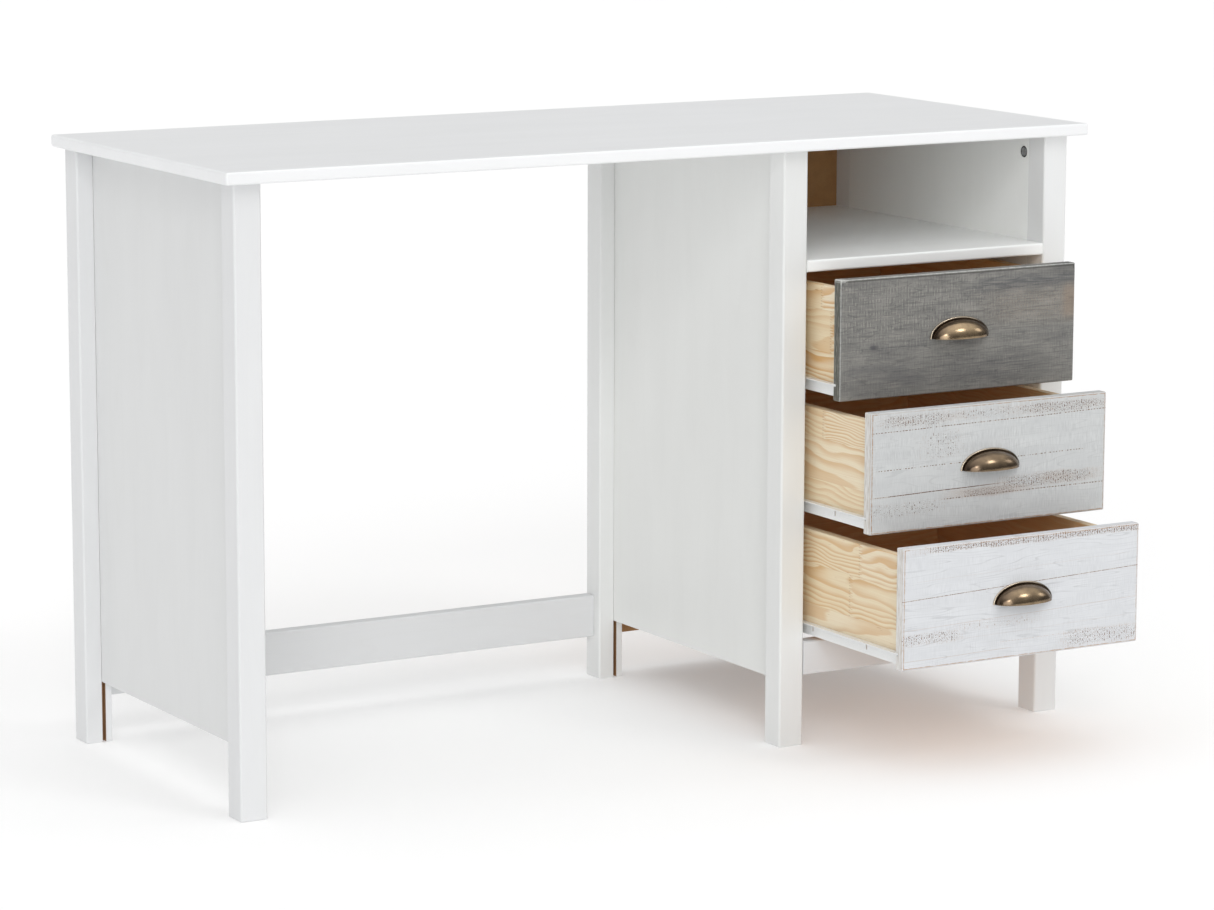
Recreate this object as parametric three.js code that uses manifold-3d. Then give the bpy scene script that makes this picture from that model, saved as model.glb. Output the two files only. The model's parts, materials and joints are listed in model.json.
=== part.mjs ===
// Writing desk with an open compartment and three drawers under its right-hand end.
// Millimetres, +Z up. The desk's front faces -Y. The origin is on the floor, in the middle
// of the footprint of the desk with its drawers drawn out as far as they are stored.
import * as THREE from 'three';
import { mergeVertices } from 'three/addons/utils/BufferGeometryUtils.js';
import Module from 'manifold-3d';

const wasm = await Module();
wasm.setup();

// ---------------------------------------------------------------- driving dimensions
const DESK_W = 1200;            // over the tabletop
const DESK_D = 500;             // over the tabletop
const DESK_H = 760;             // floor to the tabletop's upper face
const TOP_T = 15;               // tabletop board
const LEG = 35;                 // square legs
const SIDE_OVERHANG = 18;       // tabletop past the legs, left and right
const FRONT_OVERHANG = 20;      // tabletop past the front legs
const MIDDLE_LEG_X = 157.5;     // left face of the middle pair of legs
const GAP = 0.3;                // between pieces that touch

const GROOVE_FROM_FACE = 21.7;  // leg groove, from the leg's recessed-side face
const GROOVE_W = 5;
const GROOVE_D = 8;
const PANEL_BOTTOM = 77;        // lower edge of the three side panels
const EDGE_R = 3;               // rounded edges of the painted wood

const STRETCHER_Z0 = 55, STRETCHER_Z1 = 111, STRETCHER_T = 21;
const RAIL_Z0 = 88.5, RAIL_Z1 = 131.5, RAIL_T = 21;
const SHELF_Z0 = 594, SHELF_T = 15;
const BACK_T = 3, BACK_Z0 = 52, BACK_REBATE = 7;

const FRONT_T = 14;             // drawer front board
const FRONT_H = 149.5;
const FRONT_SIDE_GAP = 2;       // front to leg, each side
const DRAWERS = [
  { name: 'upper', z0: 443, open: 72, color: 0x84888a },
  { name: 'middle', z0: 289, open: 142, color: 0xd0d4d6 },
  { name: 'lower', z0: 135, open: 215, color: 0xdfe2e4 },
];
const SLIDE_SPACE = 12.5;       // wall to drawer side, each side
const SIDE_T = 12, SIDE_L = 400;
const SIDE_RISE = 4.5;          // side's lower edge above the front's lower edge
const SIDE_TOP = 136.5;         // side's upper edge above the front's lower edge
const BOTTOM_T = 3, BOTTOM_RISE = 17.5, BOTTOM_GROOVE = 4.5;
const DRAWER_BACK_T = 12;

const RAIL_LEN = 400;           // steel slide members
const ROLLER_R = 8, ROLLER_W = 6.4, ROLLER_BORE = 2.35, PIN_R = 2;

const PULL_W = 87.4, PULL_H = 25.3, PULL_RISE = 68.3;   // cup pull over its flange
const PULL_OUT = 22, PULL_FLANGE = 3.4, PULL_WALL = 1.6;

const CAM_R = 7.5, CAM_DEPTH = 10.5, CAM_FROM_TOP = 24, CAM_FROM_LEG = 10.5;

// ---------------------------------------------------------------- places worked out from them
const topUnder = DESK_H - TOP_T;
const yFront = -DESK_D / 2, yBack = DESK_D / 2;
const yLegF0 = yFront + FRONT_OVERHANG, yLegF1 = yLegF0 + LEG;
const yLegR1 = yBack, yLegR0 = yLegR1 - LEG;
const xL0 = -DESK_W / 2 + SIDE_OVERHANG, xL1 = xL0 + LEG;
const xM0 = MIDDLE_LEG_X, xM1 = xM0 + LEG;
const xR1 = DESK_W / 2 - SIDE_OVERHANG, xR0 = xR1 - LEG;
const closedRear = yLegF0 + FRONT_T;          // rear face of a closed drawer front
const mostOpen = Math.max(...DRAWERS.map(d => d.open));
const shiftY = -(yBack + (yLegF0 - mostOpen - GAP - PULL_OUT)) / 2;

// ---------------------------------------------------------------- geometry helpers
function toManifold(geometry) {
  let g = geometry.clone();
  for (const key of Object.keys(g.attributes)) if (key !== 'position') g.deleteAttribute(key);
  g = mergeVertices(g, 1e-4);
  return new wasm.Manifold(new wasm.Mesh({
    numProp: 3,
    vertProperties: new Float32Array(g.attributes.position.array),
    triVerts: new Uint32Array(g.index.array),
  }));
}

function toGeometry(manifold) {
  const m = manifold.getMesh();
  const g = new THREE.BufferGeometry();
  g.setAttribute('position', new THREE.BufferAttribute(new Float32Array(m.vertProperties), 3));
  g.setIndex(new THREE.BufferAttribute(new Uint32Array(m.triVerts), 1));
  g.computeVertexNormals();
  return g;
}

const shapeOf = pts => new THREE.Shape(pts.map(([x, y]) => new THREE.Vector2(x, y)));

// Corner (x, y) of a section rounded with radius r; (ax, ay) is the way the path comes in
// from and (bx, by) the way it goes out, both unit vectors pointing away from the corner.
function arc(x, y, ax, ay, bx, by, r, n = 2) {
  const cx = x + (ax + bx) * r, cy = y + (ay + by) * r, out = [];
  for (let i = 0; i <= n; i++) {
    const t = (i / n) * Math.PI / 2;
    out.push([cx - bx * r * Math.cos(t) - ax * r * Math.sin(t), cy - by * r * Math.cos(t) - ay * r * Math.sin(t)]);
  }
  return out;
}

function extrudeZ(pts, z0, z1) {
  const g = new THREE.ExtrudeGeometry(shapeOf(pts), { depth: z1 - z0, bevelEnabled: false });
  return g.translate(0, 0, z0);
}

// section in (X, Z), run along Y
function extrudeY(pts, y0, y1) {
  const g = new THREE.ExtrudeGeometry(shapeOf(pts), { depth: y1 - y0, bevelEnabled: false });
  g.rotateX(Math.PI / 2);
  return g.translate(0, y1, 0);
}

// section in (Y, Z), run along X
function extrudeX(pts, x0, x1) {
  const g = new THREE.ExtrudeGeometry(shapeOf(pts), { depth: x1 - x0, bevelEnabled: false });
  const m = new THREE.Matrix4().makeBasis(new THREE.Vector3(0, 1, 0), new THREE.Vector3(0, 0, 1), new THREE.Vector3(1, 0, 0));
  g.applyMatrix4(m);
  return g.translate(x0, 0, 0);
}

function boxBetween(a, b) {
  const g = new THREE.BoxGeometry(b[0] - a[0], b[1] - a[1], b[2] - a[2]);
  return g.translate((a[0] + b[0]) / 2, (a[1] + b[1]) / 2, (a[2] + b[2]) / 2);
}

function cylinderX(r, x0, x1, y, z, n = 16) {
  const g = new THREE.CylinderGeometry(r, r, x1 - x0, n);
  g.rotateZ(-Math.PI / 2);
  return g.translate((x0 + x1) / 2, y, z);
}

// Board lying flat: rounded outline in plan, all edges rounded
function flatBoard(x0, x1, y0, y1, z0, z1, r) {
  const o = r;
  const pts = [
    ...arc(x0 + o, y0 + o, 0, 1, 1, 0, r, 2), ...arc(x1 - o, y0 + o, -1, 0, 0, 1, r, 2),
    ...arc(x1 - o, y1 - o, 0, -1, -1, 0, r, 2), ...arc(x0 + o, y1 - o, 1, 0, 0, -1, r, 2),
  ];
  const g = new THREE.ExtrudeGeometry(shapeOf(pts), {
    depth: z1 - z0 - 2 * r, bevelEnabled: true, bevelThickness: r, bevelSize: r, bevelSegments: 2,
  });
  return g.translate(0, 0, z0 + r);
}

// ---------------------------------------------------------------- materials
const material = (color, roughness, metalness = 0) => new THREE.MeshStandardMaterial({ color, roughness, metalness });
const WHITE = 0xeceef0, PINE = 0xe6cb9c, HARDBOARD = 0x7a5833, BRONZE = 0x6f5636, STEEL = 0xe4e6e6, ROLLER = 0xd9d6cc, ZINC = 0x6d6f72;

const desk = new THREE.Group();
function add(parent, name, geometry, mat) {
  const mesh = new THREE.Mesh(geometry, mat);
  mesh.name = name;
  parent.add(mesh);
  return mesh;
}

// ---------------------------------------------------------------- tabletop
add(desk, 'tabletop', flatBoard(-DESK_W / 2, DESK_W / 2, yFront, yBack, topUnder, DESK_H, EDGE_R), material(WHITE, 0.45));

// ---------------------------------------------------------------- legs
// face: +1 when the panel's groove is in the leg's +Y face, -1 when it is in the -Y face
// flushRight: the panel is flush with the leg's right face, so the groove counts from the left
// rebate: 0, +1 (right rear corner cut for the back panel) or -1 (left rear corner)
function leg(x0, y0, face, flushRight, rebate) {
  const x1 = x0 + LEG, y1 = y0 + LEG, r = EDGE_R;
  const g0 = flushRight ? x0 + GROOVE_FROM_FACE : x1 - GROOVE_FROM_FACE - GROOVE_W;
  const g1 = g0 + GROOVE_W;
  let pts = [];
  pts.push(...arc(x0, y0, 0, 1, 1, 0, r));
  if (face < 0) pts.push([g0, y0], [g0, y0 + GROOVE_D], [g1, y0 + GROOVE_D], [g1, y0]);
  pts.push(...arc(x1, y0, -1, 0, 0, 1, r));
  if (rebate > 0) pts.push([x1, y1 - BACK_T - GAP], [x1 - BACK_REBATE, y1 - BACK_T - GAP], [x1 - BACK_REBATE, y1]);
  else pts.push(...arc(x1, y1, 0, -1, -1, 0, r));
  if (face > 0) pts.push([g1, y1], [g1, y1 - GROOVE_D], [g0, y1 - GROOVE_D], [g0, y1]);
  if (rebate < 0) pts.push([x0 + BACK_REBATE, y1], [x0 + BACK_REBATE, y1 - BACK_T - GAP], [x0, y1 - BACK_T - GAP]);
  else pts.push(...arc(x0, y1, 1, 0, 0, -1, r));
  return extrudeZ(pts, 0, topUnder - GAP);
}
for (const [side, x0, flushRight] of [['left', xL0, true], ['middle', xM0, true], ['right', xR0, false]]) {
  const rebate = side === 'middle' ? 1 : side === 'right' ? -1 : 0;
  add(desk, `${side}_front_leg`, leg(x0, yLegF0, 1, flushRight, 0), material(WHITE, 0.45));
  add(desk, `${side}_rear_leg`, leg(x0, yLegR0, -1, flushRight, rebate), material(WHITE, 0.45));
}

// ---------------------------------------------------------------- side panels
// Each panel is flush with one face of its legs, and its thinner tongues run in their grooves.
function sidePanel(x0, flushRight, cams) {
  const c = GAP;
  const faceX = flushRight ? x0 + LEG : x0;                                  // flush face
  const outX = flushRight ? x0 + GROOVE_FROM_FACE + c : x0 + LEG - GROOVE_FROM_FACE - c;
  const tongueX = flushRight ? x0 + GROOVE_FROM_FACE + GROOVE_W - c : x0 + LEG - GROOVE_FROM_FACE - GROOVE_W + c;
  const ya = yLegF1 + c, yb = yLegR0 - c, t = GROOVE_D - c;
  let pts = [[outX, yLegF1 - t], [tongueX, yLegF1 - t], [tongueX, ya], [faceX, ya], [faceX, yb], [tongueX, yb], [tongueX, yLegR0 + t], [outX, yLegR0 + t]];
  if (!flushRight) pts = pts.slice().reverse();
  const body = extrudeZ(pts, PANEL_BOTTOM, topUnder - c);
  if (!cams) return body;
  let solid = toManifold(body);
  for (const y of camPlaces) {
    const [a, b] = flushRight ? [faceX - CAM_DEPTH, faceX + 5] : [faceX - 5, faceX + CAM_DEPTH];
    solid = solid.subtract(toManifold(cylinderX(CAM_R, a, b, y, topUnder - CAM_FROM_TOP, 24)));
  }
  return toGeometry(solid);
}
const camPlaces = [yLegF1 + CAM_FROM_LEG, yLegR0 - CAM_FROM_LEG];
add(desk, 'left_side_panel', sidePanel(xL0, true, true), material(WHITE, 0.45));
add(desk, 'middle_side_panel', sidePanel(xM0, true, false), material(WHITE, 0.45));
add(desk, 'right_side_panel', sidePanel(xR0, false, true), material(WHITE, 0.45));

// Cam locks that draw the tabletop down: a short drum with a cross slot in its face
function camLock(faceX, into, y) {
  const z = topUnder - CAM_FROM_TOP, r = CAM_R - 0.35;
  const outer = faceX + into * 0.4, inner = faceX + into * (CAM_DEPTH - 0.4);
  let solid = toManifold(cylinderX(r, Math.min(outer, inner), Math.max(outer, inner), y, z, 24));
  const s0 = Math.min(outer - into * 1, outer + into * 1.6), s1 = Math.max(outer - into * 1, outer + into * 1.6);
  solid = solid.subtract(toManifold(boxBetween([s0, y - 4, z - 0.8], [s1, y + 4, z + 0.8])));
  solid = solid.subtract(toManifold(boxBetween([s0, y - 0.8, z - 4], [s1, y + 0.8, z + 4])));
  return toGeometry(solid);
}
for (const [side, faceX, into] of [['left', xL1, -1], ['right', xR0, 1]]) {
  add(desk, `${side}_front_cam_lock`, camLock(faceX, into, camPlaces[0]), material(ZINC, 0.4, 0.8));
  add(desk, `${side}_rear_cam_lock`, camLock(faceX, into, camPlaces[1]), material(ZINC, 0.4, 0.8));
}

// ---------------------------------------------------------------- stretcher, rail, shelf, back
function crossRail(x0, x1, y0, y1, z0, z1) {
  const r = EDGE_R;
  const pts = [...arc(y0, z0, 0, 1, 1, 0, r), ...arc(y1, z0, -1, 0, 0, 1, r), ...arc(y1, z1, 0, -1, -1, 0, r), ...arc(y0, z1, 1, 0, 0, -1, r)];
  return extrudeX(pts, x0 + GAP, x1 - GAP);
}
add(desk, 'rear_stretcher', crossRail(xL1, xM0, yLegR1 - STRETCHER_T, yLegR1, STRETCHER_Z0, STRETCHER_Z1), material(WHITE, 0.45));
add(desk, 'front_rail', crossRail(xM1, xR0, yLegF0, yLegF0 + RAIL_T, RAIL_Z0, RAIL_Z1), material(WHITE, 0.45));

const backFront = yBack - BACK_T;
{
  const r = EDGE_R, y0 = yLegF0, y1 = backFront - GAP, z0 = SHELF_Z0, z1 = SHELF_Z0 + SHELF_T;
  const pts = [...arc(y0, z0, 0, 1, 1, 0, r, 3), [y1, z0], [y1, z1], ...arc(y0, z1, 1, 0, 0, -1, r, 3)];
  add(desk, 'shelf', extrudeX(pts, xM1 + GAP, xR0 - GAP), material(WHITE, 0.45));
}
add(desk, 'back_panel', boxBetween([xM1 - BACK_REBATE + GAP, backFront, BACK_Z0], [xR0 + BACK_REBATE - GAP, yBack, topUnder - GAP]), material(HARDBOARD, 0.7));

// ---------------------------------------------------------------- steel roller slides
// x counts from the wall towards the drawer, z from the drawer side's lower edge.
const cabinetSection = [[0.3, -4.5], [10.5, -4.5], [10.5, -3.3], [1.5, -3.3], [1.5, 16.8], [6, 16.8], [6, 18], [0.3, 18]];
const drawerSection = [[11, -1.5], [21, -1.5], [21, -0.3], [12.2, -0.3], [12.2, 15], [2.5, 15], [2.5, 13.8], [11, 13.8]];
const cabinetFront = closedRear + 3;
const cabinetRollerY = cabinetFront + 12, cabinetRollerZ = 5.5;
const drawerRollerZ = 5;

// hand: +1 on the left of the bay (x counts to the right), -1 on the right
const place = (hand, x) => hand > 0 ? xM1 + x : xR0 - x;
const span = (hand, a, b) => [Math.min(place(hand, a), place(hand, b)), Math.max(place(hand, a), place(hand, b))];
function slideSection(section, hand, z) {
  const pts = section.map(([x, y]) => [place(hand, x), y + z]);
  return hand > 0 ? pts : pts.reverse();
}
function cabinetSlide(hand, zb) {
  let solid = toManifold(extrudeY(slideSection(cabinetSection, hand, zb), cabinetFront, cabinetFront + RAIL_LEN));
  const y = cabinetRollerY, z = zb + cabinetRollerZ;
  solid = solid.add(toManifold(cylinderX(PIN_R, ...span(hand, 1.0, 9.2), y, z, 16)));
  solid = solid.add(toManifold(cylinderX(3.4, ...span(hand, 8.9, 9.6), y, z, 16)));
  return toGeometry(solid);
}
function drawerSlide(hand, zb, y0) {
  let solid = toManifold(extrudeY(slideSection(drawerSection, hand, zb), y0, y0 + RAIL_LEN - 1));
  const y = y0 + RAIL_LEN - 14, z = zb + drawerRollerZ;
  solid = solid.add(toManifold(cylinderX(PIN_R, ...span(hand, 3.4, 11.5), y, z, 16)));
  solid = solid.add(toManifold(cylinderX(3.4, ...span(hand, 3.0, 3.7), y, z, 16)));
  // tab that hooks into the end of the front board's groove
  const [xa, xb] = span(hand, 2.8, 12.1);
  solid = solid.add(toManifold(boxBetween([xa, y0 - 5.4, zb + 13.1], [xb, y0 + 3, zb + 15.9])));
  return toGeometry(solid);
}
// Crowned plastic wheel with a bore, turned about its own axis
function roller() {
  const w = ROLLER_W / 2, r = ROLLER_R;
  const profile = [[ROLLER_BORE, -w], [r - 0.6, -w], [r, -w + 0.8], [r, w - 0.8], [r - 0.6, w], [ROLLER_BORE, w], [ROLLER_BORE, -w]].map(([a, b]) => new THREE.Vector2(a, b));
  const g = new THREE.LatheGeometry(profile, 20);
  g.rotateZ(-Math.PI / 2);
  return g;
}

// ---------------------------------------------------------------- cup pull
// Quarter of an ellipsoid shell, open underneath, with a flat flange round its upper arc.
// Local frame: X across, -Y out of the drawer, Z up from the pull's lower edge.
function cupPull() {
  const a = PULL_W / 2 - PULL_FLANGE, h = PULL_H - PULL_FLANGE, b = PULL_OUT, w = PULL_WALL;
  const ball = (rx, ry, rz) => {
    const g = new THREE.SphereGeometry(1, 32, 20);
    g.rotateX(Math.PI / 2);
    g.scale(rx, ry, rz);
    return toManifold(g);
  };
  const front = toManifold(boxBetween([-60, -60, 0], [60, 0, 60]));
  const outer = ball(a, b, h), inner = ball(a - w, b - w, h - w);
  const arcPts = (rx, rz, n) => Array.from({ length: n + 1 }, (_, i) => [rx * Math.cos(i / n * Math.PI), rz * Math.sin(i / n * Math.PI)]);
  const flangePts = [...arcPts(PULL_W / 2, PULL_H, 28), ...arcPts(a - w, h - w, 28).reverse()];
  const flange = toManifold(extrudeY(flangePts, -1.6, 0));
  const shell = outer.subtract(inner).intersect(front);
  return toGeometry(shell.add(flange));
}

// ---------------------------------------------------------------- drawers
const bayCentre = (xM1 + xR0) / 2;
for (const d of DRAWERS) {
  const drawer = new THREE.Group();
  drawer.position.y = -d.open;           // drawn out of the bay by this much
  desk.add(drawer);
  const zf = d.z0, zb = zf + SIDE_RISE, zt = zf + SIDE_TOP;
  const x0 = xM1 + FRONT_SIDE_GAP, x1 = xR0 - FRONT_SIDE_GAP;
  const yf = yLegF0, yr = closedRear;    // front board, closed
  const zg0 = zf + BOTTOM_RISE - GAP, zg1 = zf + BOTTOM_RISE + BOTTOM_T + GAP;

  // front: rounded at its outer edges, with the groove for the bottom right across its rear
  {
    const r = 2, z1 = zf + FRONT_H;
    const pts = [...arc(yf, zf, 0, 1, 1, 0, r), [yr, zf], [yr, zg0], [yr - BOTTOM_GROOVE - GAP, zg0], [yr - BOTTOM_GROOVE - GAP, zg1], [yr, zg1], [yr, z1], ...arc(yf, z1, 1, 0, 0, -1, r)];
    add(drawer, `${d.name}_drawer_front`, extrudeX(pts, x0, x1), material(d.color, 0.7));
  }
  const ySide0 = yr + GAP, ySide1 = yr + GAP + SIDE_L;
  const xs0 = xM1 + SLIDE_SPACE, xs1 = xs0 + SIDE_T, xe1 = xR0 - SLIDE_SPACE, xe0 = xe1 - SIDE_T;
  const groove = BOTTOM_GROOVE + GAP;
  {
    const r = 1.5;
    const left = [[xs0, zb], [xs1, zb], [xs1, zg0], [xs1 - groove, zg0], [xs1 - groove, zg1], [xs1, zg1], ...arc(xs1, zt, 0, -1, -1, 0, r, 1), ...arc(xs0, zt, 1, 0, 0, -1, r, 1)];
    const right = left.map(([x, z]) => [xM1 + xR0 - x, z]).reverse();
    add(drawer, `${d.name}_drawer_left_side`, extrudeY(left, ySide0, ySide1), material(PINE, 0.55));
    add(drawer, `${d.name}_drawer_right_side`, extrudeY(right, ySide0, ySide1), material(PINE, 0.55));
  }
  add(drawer, `${d.name}_drawer_back`, boxBetween([xs1 + GAP, ySide1 - DRAWER_BACK_T, zg1], [xe0 - GAP, ySide1, zt - 2]), material(PINE, 0.55));
  add(drawer, `${d.name}_drawer_bottom`, boxBetween([xs1 - BOTTOM_GROOVE, yr - BOTTOM_GROOVE, zf + BOTTOM_RISE], [xe0 + BOTTOM_GROOVE, ySide1, zf + BOTTOM_RISE + BOTTOM_T]), material(HARDBOARD, 0.7));

  const pull = add(drawer, `${d.name}_drawer_pull`, cupPull(), material(BRONZE, 0.35, 0.85));
  pull.position.set(bayCentre, yf - GAP, zf + PULL_RISE);

  for (const [side, hand] of [['left', 1], ['right', -1]]) {
    // drawer member and its rear wheel travel with the drawer
    const y0 = yr + 1;
    add(drawer, `${d.name}_${side}_drawer_slide`, drawerSlide(hand, zb, y0), material(STEEL, 0.35, 0.3));
    const rear = add(drawer, `${d.name}_${side}_drawer_roller`, roller(), material(ROLLER, 0.5));
    rear.position.set(place(hand, 7.3), y0 + RAIL_LEN - 14, zb + drawerRollerZ);
    // cabinet member and its front wheel stay in the desk
    add(desk, `${d.name}_${side}_cabinet_slide`, cabinetSlide(hand, zb), material(STEEL, 0.35, 0.3));
    const fore = add(desk, `${d.name}_${side}_cabinet_roller`, roller(), material(ROLLER, 0.5));
    fore.position.set(place(hand, 5.3), cabinetRollerY, zb + cabinetRollerZ);
  }
}

const part = new THREE.Group();
desk.position.set(0, shiftY, 0);
part.add(desk);
part.updateMatrixWorld(true);

export default part;
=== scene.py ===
# Looks of the writing desk with drawers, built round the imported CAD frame.
import bpy
import bmesh
import json
import math
from mathutils import Vector, Matrix

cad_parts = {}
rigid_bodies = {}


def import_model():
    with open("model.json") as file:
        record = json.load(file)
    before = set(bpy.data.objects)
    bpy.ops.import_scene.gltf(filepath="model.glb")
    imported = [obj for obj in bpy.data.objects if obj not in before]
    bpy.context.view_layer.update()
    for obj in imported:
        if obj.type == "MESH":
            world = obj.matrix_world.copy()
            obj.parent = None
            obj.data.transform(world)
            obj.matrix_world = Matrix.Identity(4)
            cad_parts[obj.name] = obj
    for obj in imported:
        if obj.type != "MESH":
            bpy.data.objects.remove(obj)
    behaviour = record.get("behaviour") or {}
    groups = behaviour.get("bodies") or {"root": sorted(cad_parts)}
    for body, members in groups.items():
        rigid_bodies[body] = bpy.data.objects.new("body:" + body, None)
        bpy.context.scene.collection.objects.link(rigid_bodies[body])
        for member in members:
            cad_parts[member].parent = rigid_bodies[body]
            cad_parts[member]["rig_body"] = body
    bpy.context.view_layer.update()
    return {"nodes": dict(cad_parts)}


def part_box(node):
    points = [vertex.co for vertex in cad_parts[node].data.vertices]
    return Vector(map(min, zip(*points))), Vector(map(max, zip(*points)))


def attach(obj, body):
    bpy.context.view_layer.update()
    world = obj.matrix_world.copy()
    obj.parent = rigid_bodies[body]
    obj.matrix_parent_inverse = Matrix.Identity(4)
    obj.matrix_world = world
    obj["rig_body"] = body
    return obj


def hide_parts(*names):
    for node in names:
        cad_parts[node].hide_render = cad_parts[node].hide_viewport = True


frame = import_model()
NODES = frame["nodes"]
BODY = {n: NODES[n]["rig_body"] for n in NODES}
MM = 0.001
WORLD, KEY = 1.0, 1.13


def box(node):
    lo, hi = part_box(node)
    return [v / MM for v in lo], [v / MM for v in hi]


def srgb(r, g, b):
    def lin(c):
        c /= 255.0
        return c / 12.92 if c <= 0.04045 else ((c + 0.055) / 1.055) ** 2.4
    return (lin(r), lin(g), lin(b), 1.0)


# ------------------------------------------------------------------ node helpers
class Mat:
    """A material with its nodes built in code. Positions are the row frame's, in millimetres."""

    def __init__(self, name):
        self.m = bpy.data.materials.new(name)
        self.m.use_nodes = True
        self.t = self.m.node_tree
        self.t.nodes.clear()
        out = self.t.nodes.new("ShaderNodeOutputMaterial")
        self.bsdf = self.t.nodes.new("ShaderNodeBsdfPrincipled")
        self.t.links.new(self.bsdf.outputs["BSDF"], out.inputs["Surface"])
        tc = self.t.nodes.new("ShaderNodeTexCoord")
        self.P = self.vec("MULTIPLY", tc.outputs["Object"], (1000, 1000, 1000))
        self._xyz = None

    def put(self, sock, v):
        if isinstance(v, bpy.types.NodeSocket):
            self.t.links.new(v, sock)
        else:
            if sock.type == "RGBA" and len(v) == 3:
                v = (*v, 1.0)
            sock.default_value = v

    def set(self, name, v):
        self.put(self.bsdf.inputs[name], v)

    def xyz(self, v=None):
        if v is None and self._xyz:
            return self._xyz
        n = self.t.nodes.new("ShaderNodeSeparateXYZ")
        self.put(n.inputs[0], self.P if v is None else v)
        r = (n.outputs[0], n.outputs[1], n.outputs[2])
        if v is None:
            self._xyz = r
        return r

    def comb(self, x, y, z):
        n = self.t.nodes.new("ShaderNodeCombineXYZ")
        for i, v in enumerate((x, y, z)):
            self.put(n.inputs[i], v)
        return n.outputs[0]

    def math(self, op, a, b=None, c=None, clamp=False):
        n = self.t.nodes.new("ShaderNodeMath")
        n.operation = op
        n.use_clamp = clamp
        for i, v in enumerate((a, b, c)):
            if v is not None:
                self.put(n.inputs[i], v)
        return n.outputs[0]

    def add(self, a, b): return self.math("ADD", a, b)
    def sub(self, a, b): return self.math("SUBTRACT", a, b)
    def mul(self, a, b): return self.math("MULTIPLY", a, b)

    def vec(self, op, a, b=None):
        n = self.t.nodes.new("ShaderNodeVectorMath")
        n.operation = op
        self.put(n.inputs[0], a)
        if b is not None:
            self.put(n.inputs[1], b)
        return n.outputs[0]

    def noise(self, v, scale=1.0, detail=2.0, rough=0.5, dist=0.0):
        n = self.t.nodes.new("ShaderNodeTexNoise")
        self.put(n.inputs["Vector"], v)
        n.inputs["Scale"].default_value = scale
        n.inputs["Detail"].default_value = detail
        n.inputs["Roughness"].default_value = rough
        n.inputs["Distortion"].default_value = dist
        return n.outputs["Fac"]

    def white(self, v):
        n = self.t.nodes.new("ShaderNodeTexWhiteNoise")
        n.noise_dimensions = "3D"
        self.put(n.inputs["Vector"], v)
        return n.outputs["Value"]

    def remap(self, v, a, b, c=0.0, d=1.0, kind="LINEAR"):
        n = self.t.nodes.new("ShaderNodeMapRange")
        n.interpolation_type = kind
        n.clamp = True
        for k, val in zip(("Value", "From Min", "From Max", "To Min", "To Max"), (v, a, b, c, d)):
            self.put(n.inputs[k], val)
        return n.outputs["Result"]

    def smooth(self, v, a, b, c=0.0, d=1.0):
        return self.remap(v, a, b, c, d, "SMOOTHSTEP")

    def ramp(self, fac, stops, kind="LINEAR"):
        n = self.t.nodes.new("ShaderNodeValToRGB")
        n.color_ramp.interpolation = kind
        el = n.color_ramp.elements
        while len(el) < len(stops):
            el.new(0.5)
        for e, (p, c) in zip(el, stops):
            e.position = p
            e.color = c if not isinstance(c, (int, float)) else (c, c, c, 1)
        self.put(n.inputs[0], fac)
        return n.outputs[0]

    def mix(self, fac, a, b, blend="MIX"):
        n = self.t.nodes.new("ShaderNodeMix")
        n.data_type = "RGBA"
        n.blend_type = blend
        self.put(n.inputs[0], fac)
        self.put(n.inputs[6], a)
        self.put(n.inputs[7], b)
        return n.outputs[2]

    def fmix(self, fac, a, b):
        n = self.t.nodes.new("ShaderNodeMix")
        n.data_type = "FLOAT"
        self.put(n.inputs[0], fac)
        self.put(n.inputs[2], a)
        self.put(n.inputs[3], b)
        return n.outputs[0]

    def bump(self, height_mm, strength=1.0, normal=None):
        n = self.t.nodes.new("ShaderNodeBump")
        n.inputs["Strength"].default_value = strength
        n.inputs["Distance"].default_value = MM
        self.put(n.inputs["Height"], height_mm)
        if normal is not None:
            self.put(n.inputs["Normal"], normal)
        return n.outputs[0]

    def stretched(self, axis, along, seed, across=1.0):
        """Position with the grain's direction drawn out, so noise runs in fibres along it."""
        k = [across] * 3
        k["XYZ".index(axis)] = along
        v = self.vec("ADD", self.P, (seed * 31.7, seed * 17.3, seed * 47.9))
        return self.vec("MULTIPLY", v, tuple(k))


# ------------------------------------------------------------------ materials
_cache = {}
GROOVE_AT, GROOVE_W, GROOVE_D = 21.7, 5.0, 8.0


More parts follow.
